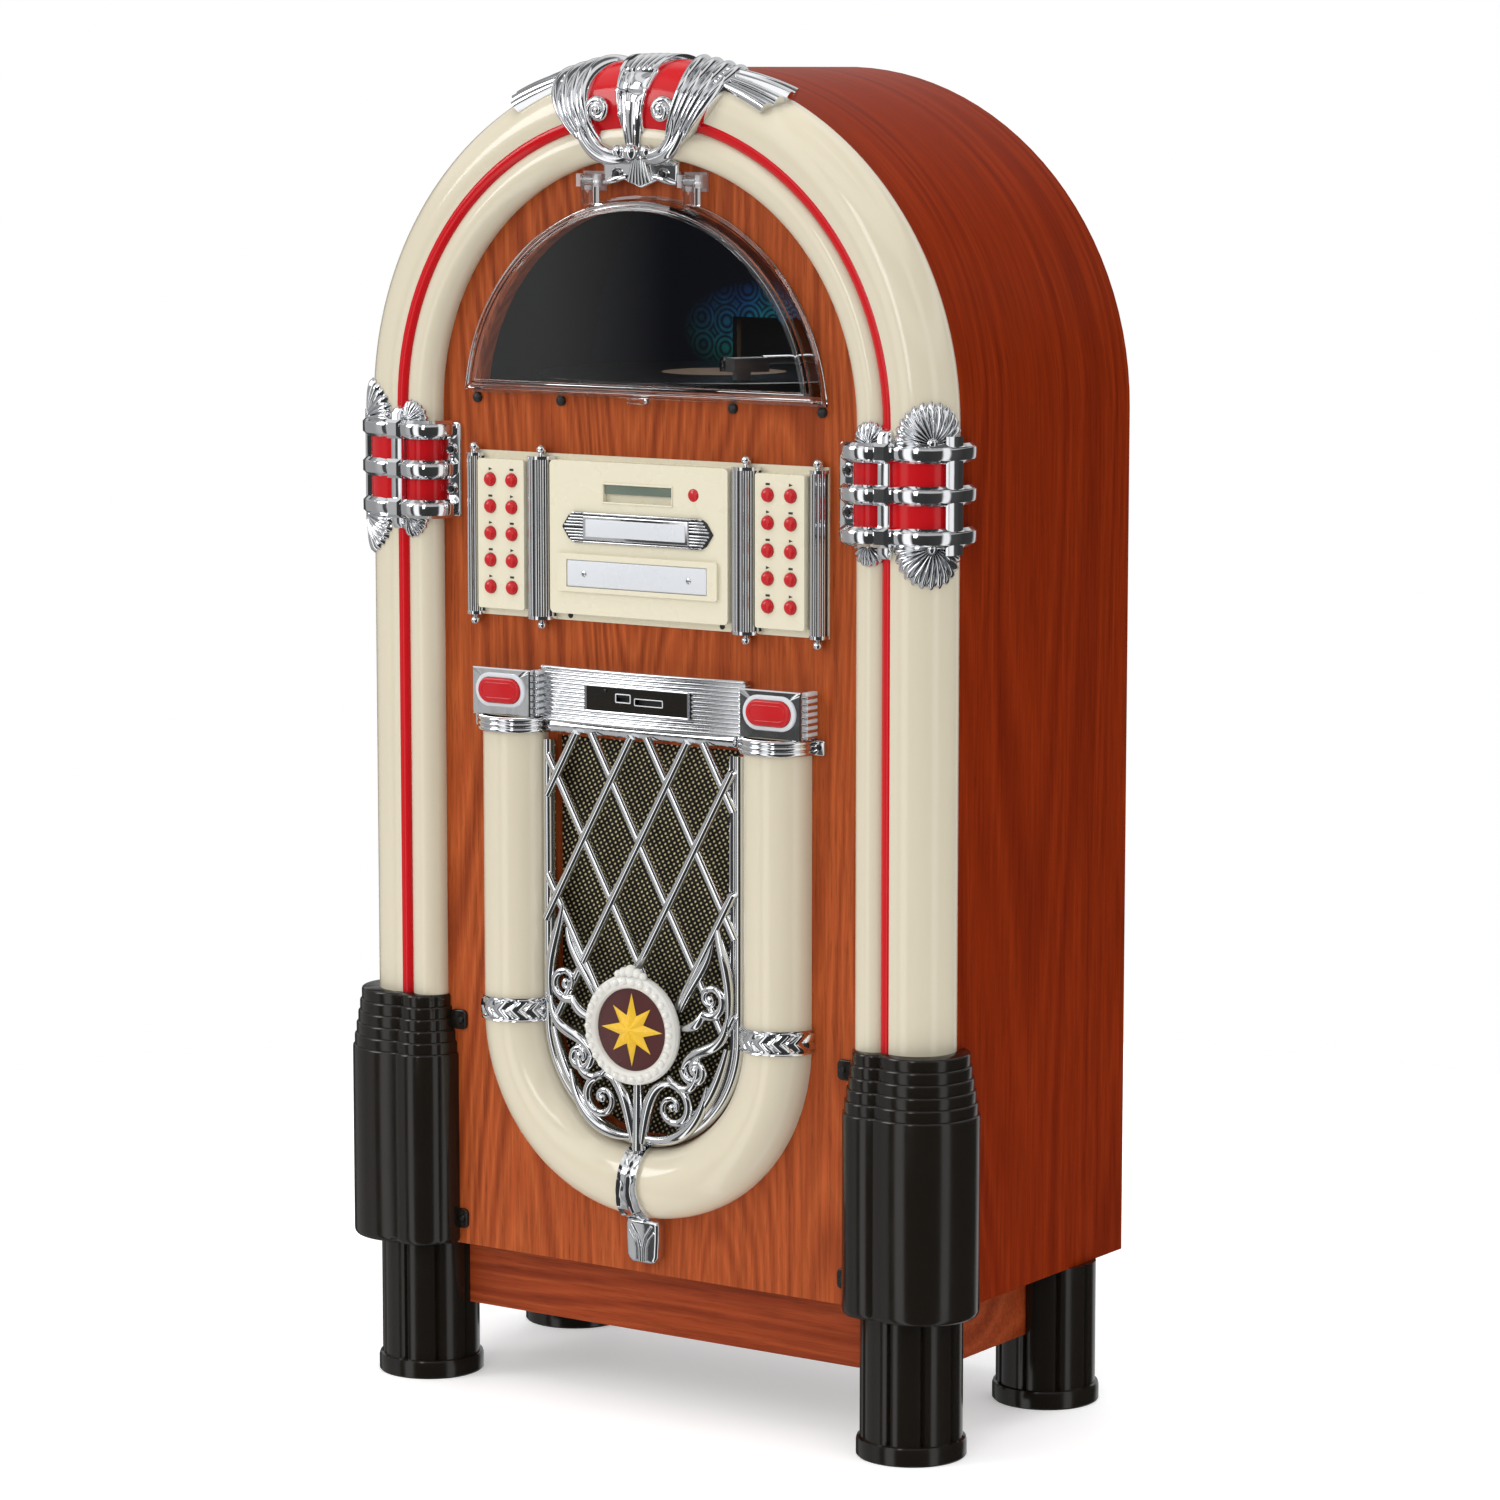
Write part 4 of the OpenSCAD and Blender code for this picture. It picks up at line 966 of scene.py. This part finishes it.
b = Build()
pf = badge[2]
right = [(61, bz - 12), (66, bz - 9), (72, bz), (66, bz + 9), (61, bz + 12)]
b.add(plate([(-61, bz - 12), *right, *((-x, z) for x, z in right[:0:-1])], pf, pf + 1.4, 0.5), DARK_METAL)
for k in range(5):
    h = 11.2 - k * 2.4
    w = 61.5 + (12 - h) * 0.75
    for x0, x1 in ((-w, -50), (50, w)):
        for z in (bz + h, bz - h):
            b.add(plate(rounded(x0, z - 0.75, x1, z + 0.75, 0.5, 2), pf, pf + 2.6, 0.5))
for z in (bz + 11.2, bz - 11.2):
    b.add(plate(rounded(-60, z - 0.75, 60, z + 0.75, 0.5, 2), pf, pf + 2.6, 0.5))
b.add(plate(rounded(-50.5, bz - 9.5, 50.5, bz + 9.5, 1), pf, pf + 3.4, 0.8))
b.add(plate(rounded(-47.5, bz - 6.8, 47.5, bz + 6.8, 0.8), pf + 3, pf + 3.9, 0.4), SILVER)
b.done("badge_blank", replaces=["badge_plate"])

keep("cd_tray", SILVER, 0.3)
b = Build()
dx, door_f, dz0, dz1 = door[1], door[3], door[4], door[5]
dz = (dz0 + dz1) / 2
b.add(plate(rounded(-dx + 0.4, dz0 + 0.4, dx - 0.4, dz1 - 0.4, 1.2), door_f - 0.02, door_f + 0.8, 0.6), SILVER)
for x in (-50, 50):
    b.add(lathe(at(x, door_f + 0.7, dz), OUT, [(0, 0), (2.3, 0), (2.3, 0.5), (1.4, 0.9), (0, 1.0)], 20))
    # dark bar across each round head: painted shade for its slot
    b.add(plate(box_outline(x - 1.6, dz - 0.3, x + 1.6, dz + 0.3), door_f + 1.4, door_f + 1.75, 0.1, 1), INK_AND_SHADE)
b.done("disc_door_face", "disc_tray")

b = Build()
for s in (-1, 1):
    screw(b, s * 72.8, 2.0, 638.3, 2.3)
    # play and stop shapes as generic key marks
    for col, cx in enumerate((143.5, 122.4)):
        for row in range(5):
            z = 752 - 21.4 * row
            if (row + col) % 2:
                mark = box_outline(s * cx - 2, z - 0.9, s * cx + 2, z + 0.9)
            else:
                mark = [(s * cx - 1.6, z - 1.3), (s * cx + 2.0, z), (s * cx - 1.6, z + 1.3)]
            b.add(plate(mark, 12.9, 13.06, 0.04, 1), INK_AND_SHADE)
b.done("control_marks", replaces=["screws"])

# the other screws: boots' plates, collars
b = Build()
for s in (-1, 1):
    for z in (301, 136):
        screw(b, s * 185, 2.5, z, 2.8)
    screw(b, s * 163, 2.5, 550.5, 2.4)
b.done("panel_screws")

# ---- grille head ----

blocks = box_mm("corner_blocks")
BZ0, BZ1 = blocks[4] + 12, blocks[5]
BX0, BX1 = 98.0, 158.0
KEY_X, KEY_Z = 129, 576.5
BLOCK_HALF = 28.5
POCKET = (20.85, 10.35)


def oval_reach(q, w, h):
    """From the middle of a stadium of half sizes w and h to its edge, at angle q."""
    c, s = abs(cos(q)), abs(sin(q))
    if h * c <= (w - h) * s:
        return h / s
    return (w - h) * c + sqrt(h * h - ((w - h) * s) ** 2)


def block_reach(q, trim):
    """From the middle of the oval key to the edge of its block, at angle q."""
    c, s = cos(q), sin(q)
    up = (BZ1 - KEY_Z if s > 0 else KEY_Z - BZ0) - trim
    return min((BLOCK_HALF - trim) / max(abs(c), 1e-9), up / max(abs(s), 1e-9))


block_angles = [2 * pi * k / 120 for k in range(120)]
for x in (1, -1):
    for z in (BZ1 - KEY_Z, BZ0 - KEY_Z):
        corner = atan2(z, BLOCK_HALF * x) % (2 * pi)
        block_angles[round(corner / (2 * pi / 120)) % 120] = corner


def ring_at(side, reach, f):
    """A ring round an oval key, at the distance reach(q) from its middle."""
    ring = []
    for q in block_angles:
        x, z = polar(side * KEY_X, KEY_Z, reach(q), q)
        ring.append(at(x, f, z))
    return ring


b = Build()
for side in (-1, 1):
    lo, hi = min(side * BX0, side * BX1), max(side * BX0, side * BX1)
    walls = [ring_at(side, lambda q: block_reach(q, trim), f) for trim, f in ((0, 0), (0, 19.2), (1.0, 20.2))]
    walls += [ring_at(side, lambda q: oval_reach(q, *POCKET), f) for f in (20.2, 5)]
    b.add(loft(walls, True))
    rim = [ring_at(side, lambda q: oval_reach(q, w, h), f)
           for w, h, f in ((24.3, 13.6, 20.0), (24.3, 13.6, 21.1), (23.5, 12.8, 21.9),
                           (*POCKET, 21.9), (*POCKET, 20.0))]
    b.add(loft(rim, True), SILVER)
    # ribs down both sides
    for k in range(7):
        z = BZ0 + 1.0 + k * 5.2
        for x in (lo, hi):
            b.add(plate(rounded(x - 2.4, z, x + 2.4, z + 2.6, 0.8, 2), 0, 15.5, 1.4))
            b.add(plate(rounded(x - 1.9, z + 2.4, x + 1.9, z + 5.4, 0.4, 2), 0, 14.4, 0.6), SILVER)

    # collar round the tube under the block
    def collar(u, v, lift):
        r = 29.2 + (3.0 + 1.3 * abs(sin(pi * v * 3)) ** 0.6 if lift else 0.0)
        return at(*polar(side * 126, 0, r, pi * u), BZ0 - 12 + 12 * v)

    b.add(skin(collar, 40, 24))
    for x0, x1 in ((157, 168), (88.5, 95)):
        lo, hi = min(side * x0, side * x1), max(side * x0, side * x1)
        b.add(plate(rounded(lo, BZ0 - 12, hi, BZ0, 2), 0, 2.6, 0.9))
b.done("corner_blocks_chromed", replaces=["corner_blocks"])

for side, name in ((-1, "light_button_left"), (1, "light_button_right")):
    x0, x1, f0, f1, z0, z1 = box_mm(name)
    b = Build()
    cx, cz, w, h = (x0 + x1) / 2, (z0 + z1) / 2, (x1 - x0) / 2, (z1 - z0) / 2
    b.add(plate(stadium(cx, cz, w, h, 14), f0, f1, 1.6, 4), BUTTON_RED)
    # a fine raised line round the key's face
    b.add(tube(level(stadium(cx, cz, w - 4.0, h - 4.0, 12), f1 - 0.15), 0.5, 8, True), BUTTON_RED)
    b.done("oval_key_%s" % ("left" if side < 0 else "right"), name, replaces=[name])

bar = box_mm("media_bar")
BAR_Z0, BAR_Z1 = BZ0, bar[5]


def bow_f(x):
    return 7.6 + 7.0 * (1 - (x / 98.0) ** 2)


b = Build()
ribs = 12
inset_box = box_mm("media_sockets")
ix, iz0, iz1, fi = inset_box[1], inset_box[4], inset_box[5], 15.1


def ribbed(u, v, lift):
    x = -97.6 + 195.2 * u
    q = (v * ribs) % 1.0
    rib = sin(pi * q) ** 0.5 if 0 < q < 1 else 0.0
    f = bow_f(x) - 1.2 + 1.3 * rib
    z = BAR_Z0 + (BAR_Z1 - BAR_Z0) * v
    if abs(x) < ix - 1 and iz0 + 1 < z < iz1 - 1:
        f = 7.0
    return at(x, f if lift else 0.0, z)


b.add(skin(ribbed, 48, ribs * 8))
for z in (BAR_Z1 - 0.9, BAR_Z0 - 0.6):
    xs = [-97 + 194 * k / 40 for k in range(41)]
    b.add(tube([at(x, bow_f(x) - 0.2, z) for x in xs], 1.7, 10))


def lip(u, v, lift):
    x = -88 + 176 * u
    f = 8.6 + 1.6 * sin(pi * v) - 3.5 * (v < 0.12)
    return at(x, f if lift else 0.0, 545 + (BAR_Z0 - 1.4 - 545) * v)


b.add(skin(lip, 24, 14))
b.done("media_bar_ribbed", replaces=["media_bar"])


def frame_with_holes(b, x0, x1, z0, z1, holes, f0, f1, mat):
    """A flat plate cut by rectangular holes, made of strips between their edges."""
    xs = sorted({x0, x1, *[h[0] for h in holes], *[h[1] for h in holes]})
    zs = sorted({z0, z1, *[h[2] for h in holes], *[h[3] for h in holes]})
    for i in range(len(xs) - 1):
        for j in range(len(zs) - 1):
            cx, cz = (xs[i] + xs[i + 1]) / 2, (zs[j] + zs[j + 1]) / 2
            if not any(h[0] < cx < h[1] and h[2] < cz < h[3] for h in holes):
                b.add(plate(box_outline(xs[i], zs[j], xs[i + 1], zs[j + 1]), f0, f1, 0.02, 1), mat)


# black inset with its two sockets
b = Build()
usb, sd = (-19.5, -6.5, 574.5, 580.0), (-1.5, 24.5, 573.0, 577.5)
frame_with_holes(b, -ix, ix, iz0, iz1, [usb, sd], 10.0, fi, BLACK)
# dark plate behind the socket holes: painted shade for their depth
b.add(plate(box_outline(-ix, iz0, ix, iz1), 4, 10.0, 0.1, 1), INK_AND_SHADE)
b.add(tube(level(rounded(-ix, iz0, ix, iz1, 0.8), fi), 0.9, 8, True))
for (x0, x1, z0, z1), d in ((usb, 0.5), (sd, 0.4)):
    b.add(tube(level(rounded(x0 - d, z0 - d, x1 + d, z1 + d, 0.5, 2), fi), d, 8, True), SILVER)
b.add(plate(rounded(usb[0] + 1, usb[3] - 2.4, usb[1] - 1, usb[3] - 0.6, 0.3, 2), 10, fi - 0.8, 0.2, 1),
      DARK_METAL)
b.add(lathe(at(-30, fi - 0.1, 582.4), OUT, [(0, 0), (1.6, 0), (1.6, 0.7), (1.1, 1.1), (0, 1.2)], 18),
      DARK_METAL)
b.add(plate(rounded(-22, 581.6, -16, 583.2, 0.4, 2), fi - 0.1, fi + 0.25, 0.1, 1), DARK_METAL)
b.done("media_inset_gloss", replaces=["media_sockets"])

# ---- grille ----

TUBE_C, TUBE_R, GZ = 126.0, 29.0, 316.0


def around(q, r, f):
    """A point on the U: q from 180 degrees (left) through 270 to 360 (right), r from its centre."""
    x, z = polar(0, GZ, r, rad(q))
    return at(x, f, z)


b = Build()
section = arc(TUBE_C, 0, TUBE_R, 0, 180, 36)
rings = [[at(-r, f, BZ0 - 4) for r, f in section]]
for k in range(73):
    rings.append([around(180 + 180 * k / 72, r, f) for r, f in section])
rings.append([at(r, f, BZ0 - 4) for r, f in section])
b.add(loft(rings), CREAM)
b.done("tube_gloss", replaces=["grille_tube"])


def leaf(u, v):
    """Relief of a band: raised edges and a row of slanted leaves between them."""
    edge = max(0, abs(2 * v - 1) - 0.74) / 0.26
    row = abs(sin(pi * (u * 7 + 0.9 * abs(2 * v - 1))))
    return 1.0 + (1.9 * sin(pi * min(edge, 1) * 0.5) if edge > 0 else 0.2 + 2.1 * row ** 0.8)


b = Build()
for side in (-1, 1):
    def band(u, v, lift):
        r = 29.3 + leaf(u, v) if lift else 28.9
        return at(*polar(side * 126, 0, r, pi * u), 311 + 19 * v)

    b.add(skin(band, 112, 24))


def low_band(u, v, lift):
    q = pi * u
    half = 4.2 + 1.4 * abs(2 * u - 1)
    a = 270 + (2 * v - 1) * half
    ridge = 1.9 * exp(-((2 * v - 1) / 0.16) ** 2)
    edge = 1.8 * max(0, abs(2 * v - 1) - 0.7) / 0.3
    step = 0.7 * abs(sin(pi * (u * 6 + 0.5 * abs(2 * v - 1))))
    r = 29.1 + (0.9 + ridge + edge + step if lift else -0.3)
    return around(a, TUBE_C - r * cos(q), r * sin(q))


b.add(skin(low_band, 72, 28))
edge = [(9, 125), (13, 127.5), (15, 131), (15.8, 145), (16, 157), (14, 160.4)]
b.add(plate([(-9, 125), *edge, *((-x, z) for x, z in edge[:0:-1])], 0, 10.5, 3, 4))
for s in (-1, 1):
    for r, path in ((1.5, ((1.2, 10.6, 127), (1.4, 10.8, 138), (3.5, 10.8, 147), (9.5, 10.4, 156))),
                    (1.1, ((4.6, 10.6, 128), (4.8, 10.8, 138), (7.0, 10.8, 145), (12, 10.2, 151)))):
        b.add(tube([at(s * x, f, z) for x, f, z in path], r, 10))
b.done("bands_leafed", replaces=["tube_bands"])

# lattice: frame strip, crossing bars and scrolls
b = Build()
OPEN_R, TOP = 92.0, 543.0
heights = [TOP - 4 - 6 * k for k in range(int((TOP - 4 - GZ) / 6))]
path = [at(-OPEN_R, 7, z) for z in heights]
path += [around(180 + 180 * k / 48, OPEN_R, 7) for k in range(49)]
path += [at(OPEN_R, 7, z) for z in heights[::-1]]
b.add(tube(path, 4.6, 10, False, 0.9))
b.add(tube([Vector((p.x * 0.94, p.y - 0.002, p.z)) for p in path], 2.2, 8))

CELL, LEAN = 53.6, 27.0 / 49.0


def inside(x, z):
    return GZ <= z <= TOP + 5 and abs(x) <= OPEN_R - 1 and hypot(x, z - GZ) > 41


for i in range(-8, 9):
    for s in (-1, 1):
        run = []
        for k in range(63):
            z = TOP + 4 - 4 * k
            x = (i + 0.5) * CELL + s * (z - 511) * LEAN
            ok = inside(x, z)
            if ok:
                run.append(at(x, 12.4 if s > 0 else 10.8, z))
            if (not ok or k == 62) and run:
                if len(run) > 2:
                    b.add(tube(run, 3.6, 12))
                run = []

# volutes: (x, z from the U's centre, outer and inner radius, first angle on the right and the left, turns, f)
VOLUTES = ((34, -60, 19, 3.5, 90, 90, -1.35, 15), (70, 30, 15, 3.0, 240, 300, 1.3, 14),
           (56, -28, 12, 2.5, 180, 0, 1.25, 15))
# tapering stems: four control points, f, thickness
STEMS = (((4, -92), (10, -60), (14, -40), (34, -41), 15, 4.6), ((8, -88), (40, -92), (62, -70), (66, -40), 14, 4.4),
         ((44, -28), (52, -4), (84, -20), (86, 20), 14, 4.6), ((43, 4), (56, 6), (62, 12), (63, 20), 15, 4.0),
         ((86, 16), (90, 48), (78, 66), (74, 92), 13, 4.0), ((84, -8), (74, -44), (60, -66), (30, -84), 12, 4.2),
         ((40, 18), (52, 44), (66, 52), (70, 74), 13, 3.8), ((30, -36), (44, -52), (62, -44), (58, -16), 15, 3.6))
for s in (-1, 1):
    for x, z, r0, r1, right, left, turns, f in VOLUTES:
        coil = spiral(s * x, GZ + z, r0, r1, right if s > 0 else left, s * turns, f, 44)
        b.add(tube(coil, lambda t: 4.1 * (1 - 0.55 * t), 10))
        b.add(ball(at(s * x, f + 0.5, GZ + z), 4.1 * 0.85))
    for *points, f, thick in STEMS:
        stem = [at(x, f, z) for _, x, z in curve([(s * x, GZ + z) for x, z in points], 24)]
        b.add(tube(stem, lambda t: 1.4 + (thick * 1.15 - 1.4) * sin(pi * min(t * 0.9 + 0.1, 1)) ** 0.7, 10))
b.add(tube([at(0, 14, GZ - 98 + 3 * k) for k in range(20)], lambda t: 5.6 - 1.6 * t, 12))
b.done("lattice_and_scrolls", replaces=["grille_lattice"])

# medallion: beaded white ring, dark disc and a raised star
b = Build()
mf = 19.0
ring = [(33.0, 0), (44.0, 0), (44.4, 3), (43.6, 6.2), (41.5, 8.4),
        (39.0, 9.2), (36.4, 8.6), (34.0, 6.6), (33.0, 4.4), (33.0, 0)]
b.add(lathe(at(0, mf, GZ), OUT, ring, 96), WHITE)
for k in range(30):
    b.add(ball(at(39.2 * cos(2 * pi * k / 30), mf + 8.6, GZ + 39.2 * sin(2 * pi * k / 30)), 2.9, 12), WHITE)
for x, z, r in ((0, 47, 5.2), (-6.5, 45.6, 4.2), (6.5, 45.6, 4.2), (-12, 43.6, 3.4), (12, 43.6, 3.4)):
    b.add(ball(at(x, mf + 5, GZ + z), r), WHITE)
b.add(lathe(at(0, mf, GZ), OUT, [(0, 0), (33.4, 0), (33.4, 3.4), (0, 3.8)], 64), MAROON)
verts = [at(0, mf + 9.5, GZ)]
for k in range(16):
    x, z = polar(0, GZ, (29.5, 12.2, 25.5, 12.2)[k % 4], pi / 2 + pi * k / 8)
    verts.append(at(x, mf + (3.9, 4.2)[k % 2], z))
verts.append(at(0, mf + 3.2, GZ))
faces = []
for k in range(16):
    a, c = 1 + k, 1 + (k + 1) % 16
    faces += [(0, a, c), (17, c, a)]
b.add((verts, faces), YELLOW)
b.done("medallion_star", replaces=["medallion"], angle=12)

# ---- studio ----

floor_mat = Shader("floor_pale", Roughness=0.6, Emission_Strength=0.34)
floor_mat.bsdf.inputs["Emission Color"].default_value = (1, 1, 1, 1)
floor_mat.link(floor_mat.ramp(floor_mat.noise(floor_mat.coords(), 0.8, 2), (0.3, 0.88), (0.7, 0.90)), "Base Color")
me = bpy.data.meshes.new("floor")
me.from_pydata([(*polar(0, 0, 1.5, 2 * pi * k / 96), 0) for k in range(96)], [], [tuple(range(96))])
me.materials.append(floor_mat.mat)
floor = placed("floor", me)
floor.visible_glossy = False

# white surroundings; what mirrors see of them is a dark room with a pale ceiling and tall soft boxes
world = bpy.data.worlds.new("studio")
bpy.context.scene.world = world
world.use_nodes = True
sky = Nodes(world.node_tree)
sky.nt.nodes.clear()
x, y, z = sky.split(sky.node("ShaderNodeTexCoord").outputs["Generated"])
turn = sky.math("ADD", sky.math("MULTIPLY", sky.math("ARCTAN2", y, x), 1 / (2 * pi)), 0.5)
boxes = sky.ramp(turn, (0.0, 0.30), (0.08, 0.30), (0.12, 0.42), (0.1490, 0.42), (0.1505, 0.05), (0.18, 0.06),
                 (0.195, 1.0), (0.235, 1.0), (0.25, 0.04), (0.34, 0.03), (0.44, 0.04), (0.455, 0.85),
                 (0.49, 0.85), (0.505, 0.06), (0.60, 0.03), (0.70, 0.04), (0.74, 0.55), (0.84, 0.55),
                 (0.88, 0.05), (0.94, 0.05), (0.96, 0.30))
height = sky.math("ADD", sky.math("MULTIPLY", z, 0.5), 0.5)
rise = sky.ramp(height, (0.0, 0.02), (0.60, 0.0), (0.64, 0.50), (0.69, 0.50), (0.71, 0.02), (0.80, 0.02),
                (0.83, 0.72), (0.91, 0.72), (0.94, 0.1), (1.0, 0.1))
room = sky.math("MULTIPLY", sky.math("MAXIMUM", boxes, rise), 1.15)
ray = sky.node("ShaderNodeLightPath").outputs
flat = sky.math("ADD", sky.math("MULTIPLY", ray["Is Camera Ray"], 0.22), 0.78)
mixed = sky.node("ShaderNodeMix")
sky.fill((mixed.inputs[0], ray["Is Glossy Ray"]), (mixed.inputs[2], flat), (mixed.inputs[3], room))
back = sky.node("ShaderNodeBackground", [("Color", mixed.outputs[0])])
sky.node("ShaderNodeOutputWorld", [("Surface", back.outputs[0])])


def area(name, place, look, size, power, size_y=None, mirrored=True):
    data = bpy.data.lights.new(name, "AREA")
    data.energy = power
    data.size = size
    if size_y:
        data.shape = "RECTANGLE"
        data.size_y = size_y
    o = placed(name, data)
    o.location = place
    o.visible_glossy = mirrored
    o.rotation_euler = (Vector(look) - Vector(place)).to_track_quat("-Z", "Y").to_euler()


area("key_left", (-2.4, -2.6, 2.3), (0, 0, 0.6), 1.4, 38, 2.0)
area("strip_front", (0.7, -3.4, 1.9), (0, 0, 0.6), 0.5, 12, 2.2)
area("side_right", (3.2, -0.6, 1.7), (0, 0, 0.6), 1.4, 8, 2.0, False)
area("top", (0, -0.3, 3.4), (0, 0, 0.5), 2.4, 46, None, False)
area("back_fill", (0.5, 3.2, 2.4), (0, 0, 0.6), 2.4, 14, None, False)
area("deck_glow", (0.02, 0.02, 1.0), (0, 0.02, 0.8), 0.16, 0.25)

bpy.context.scene.view_settings.view_transform = "Standard"
bpy.context.scene.view_settings.look = "None"
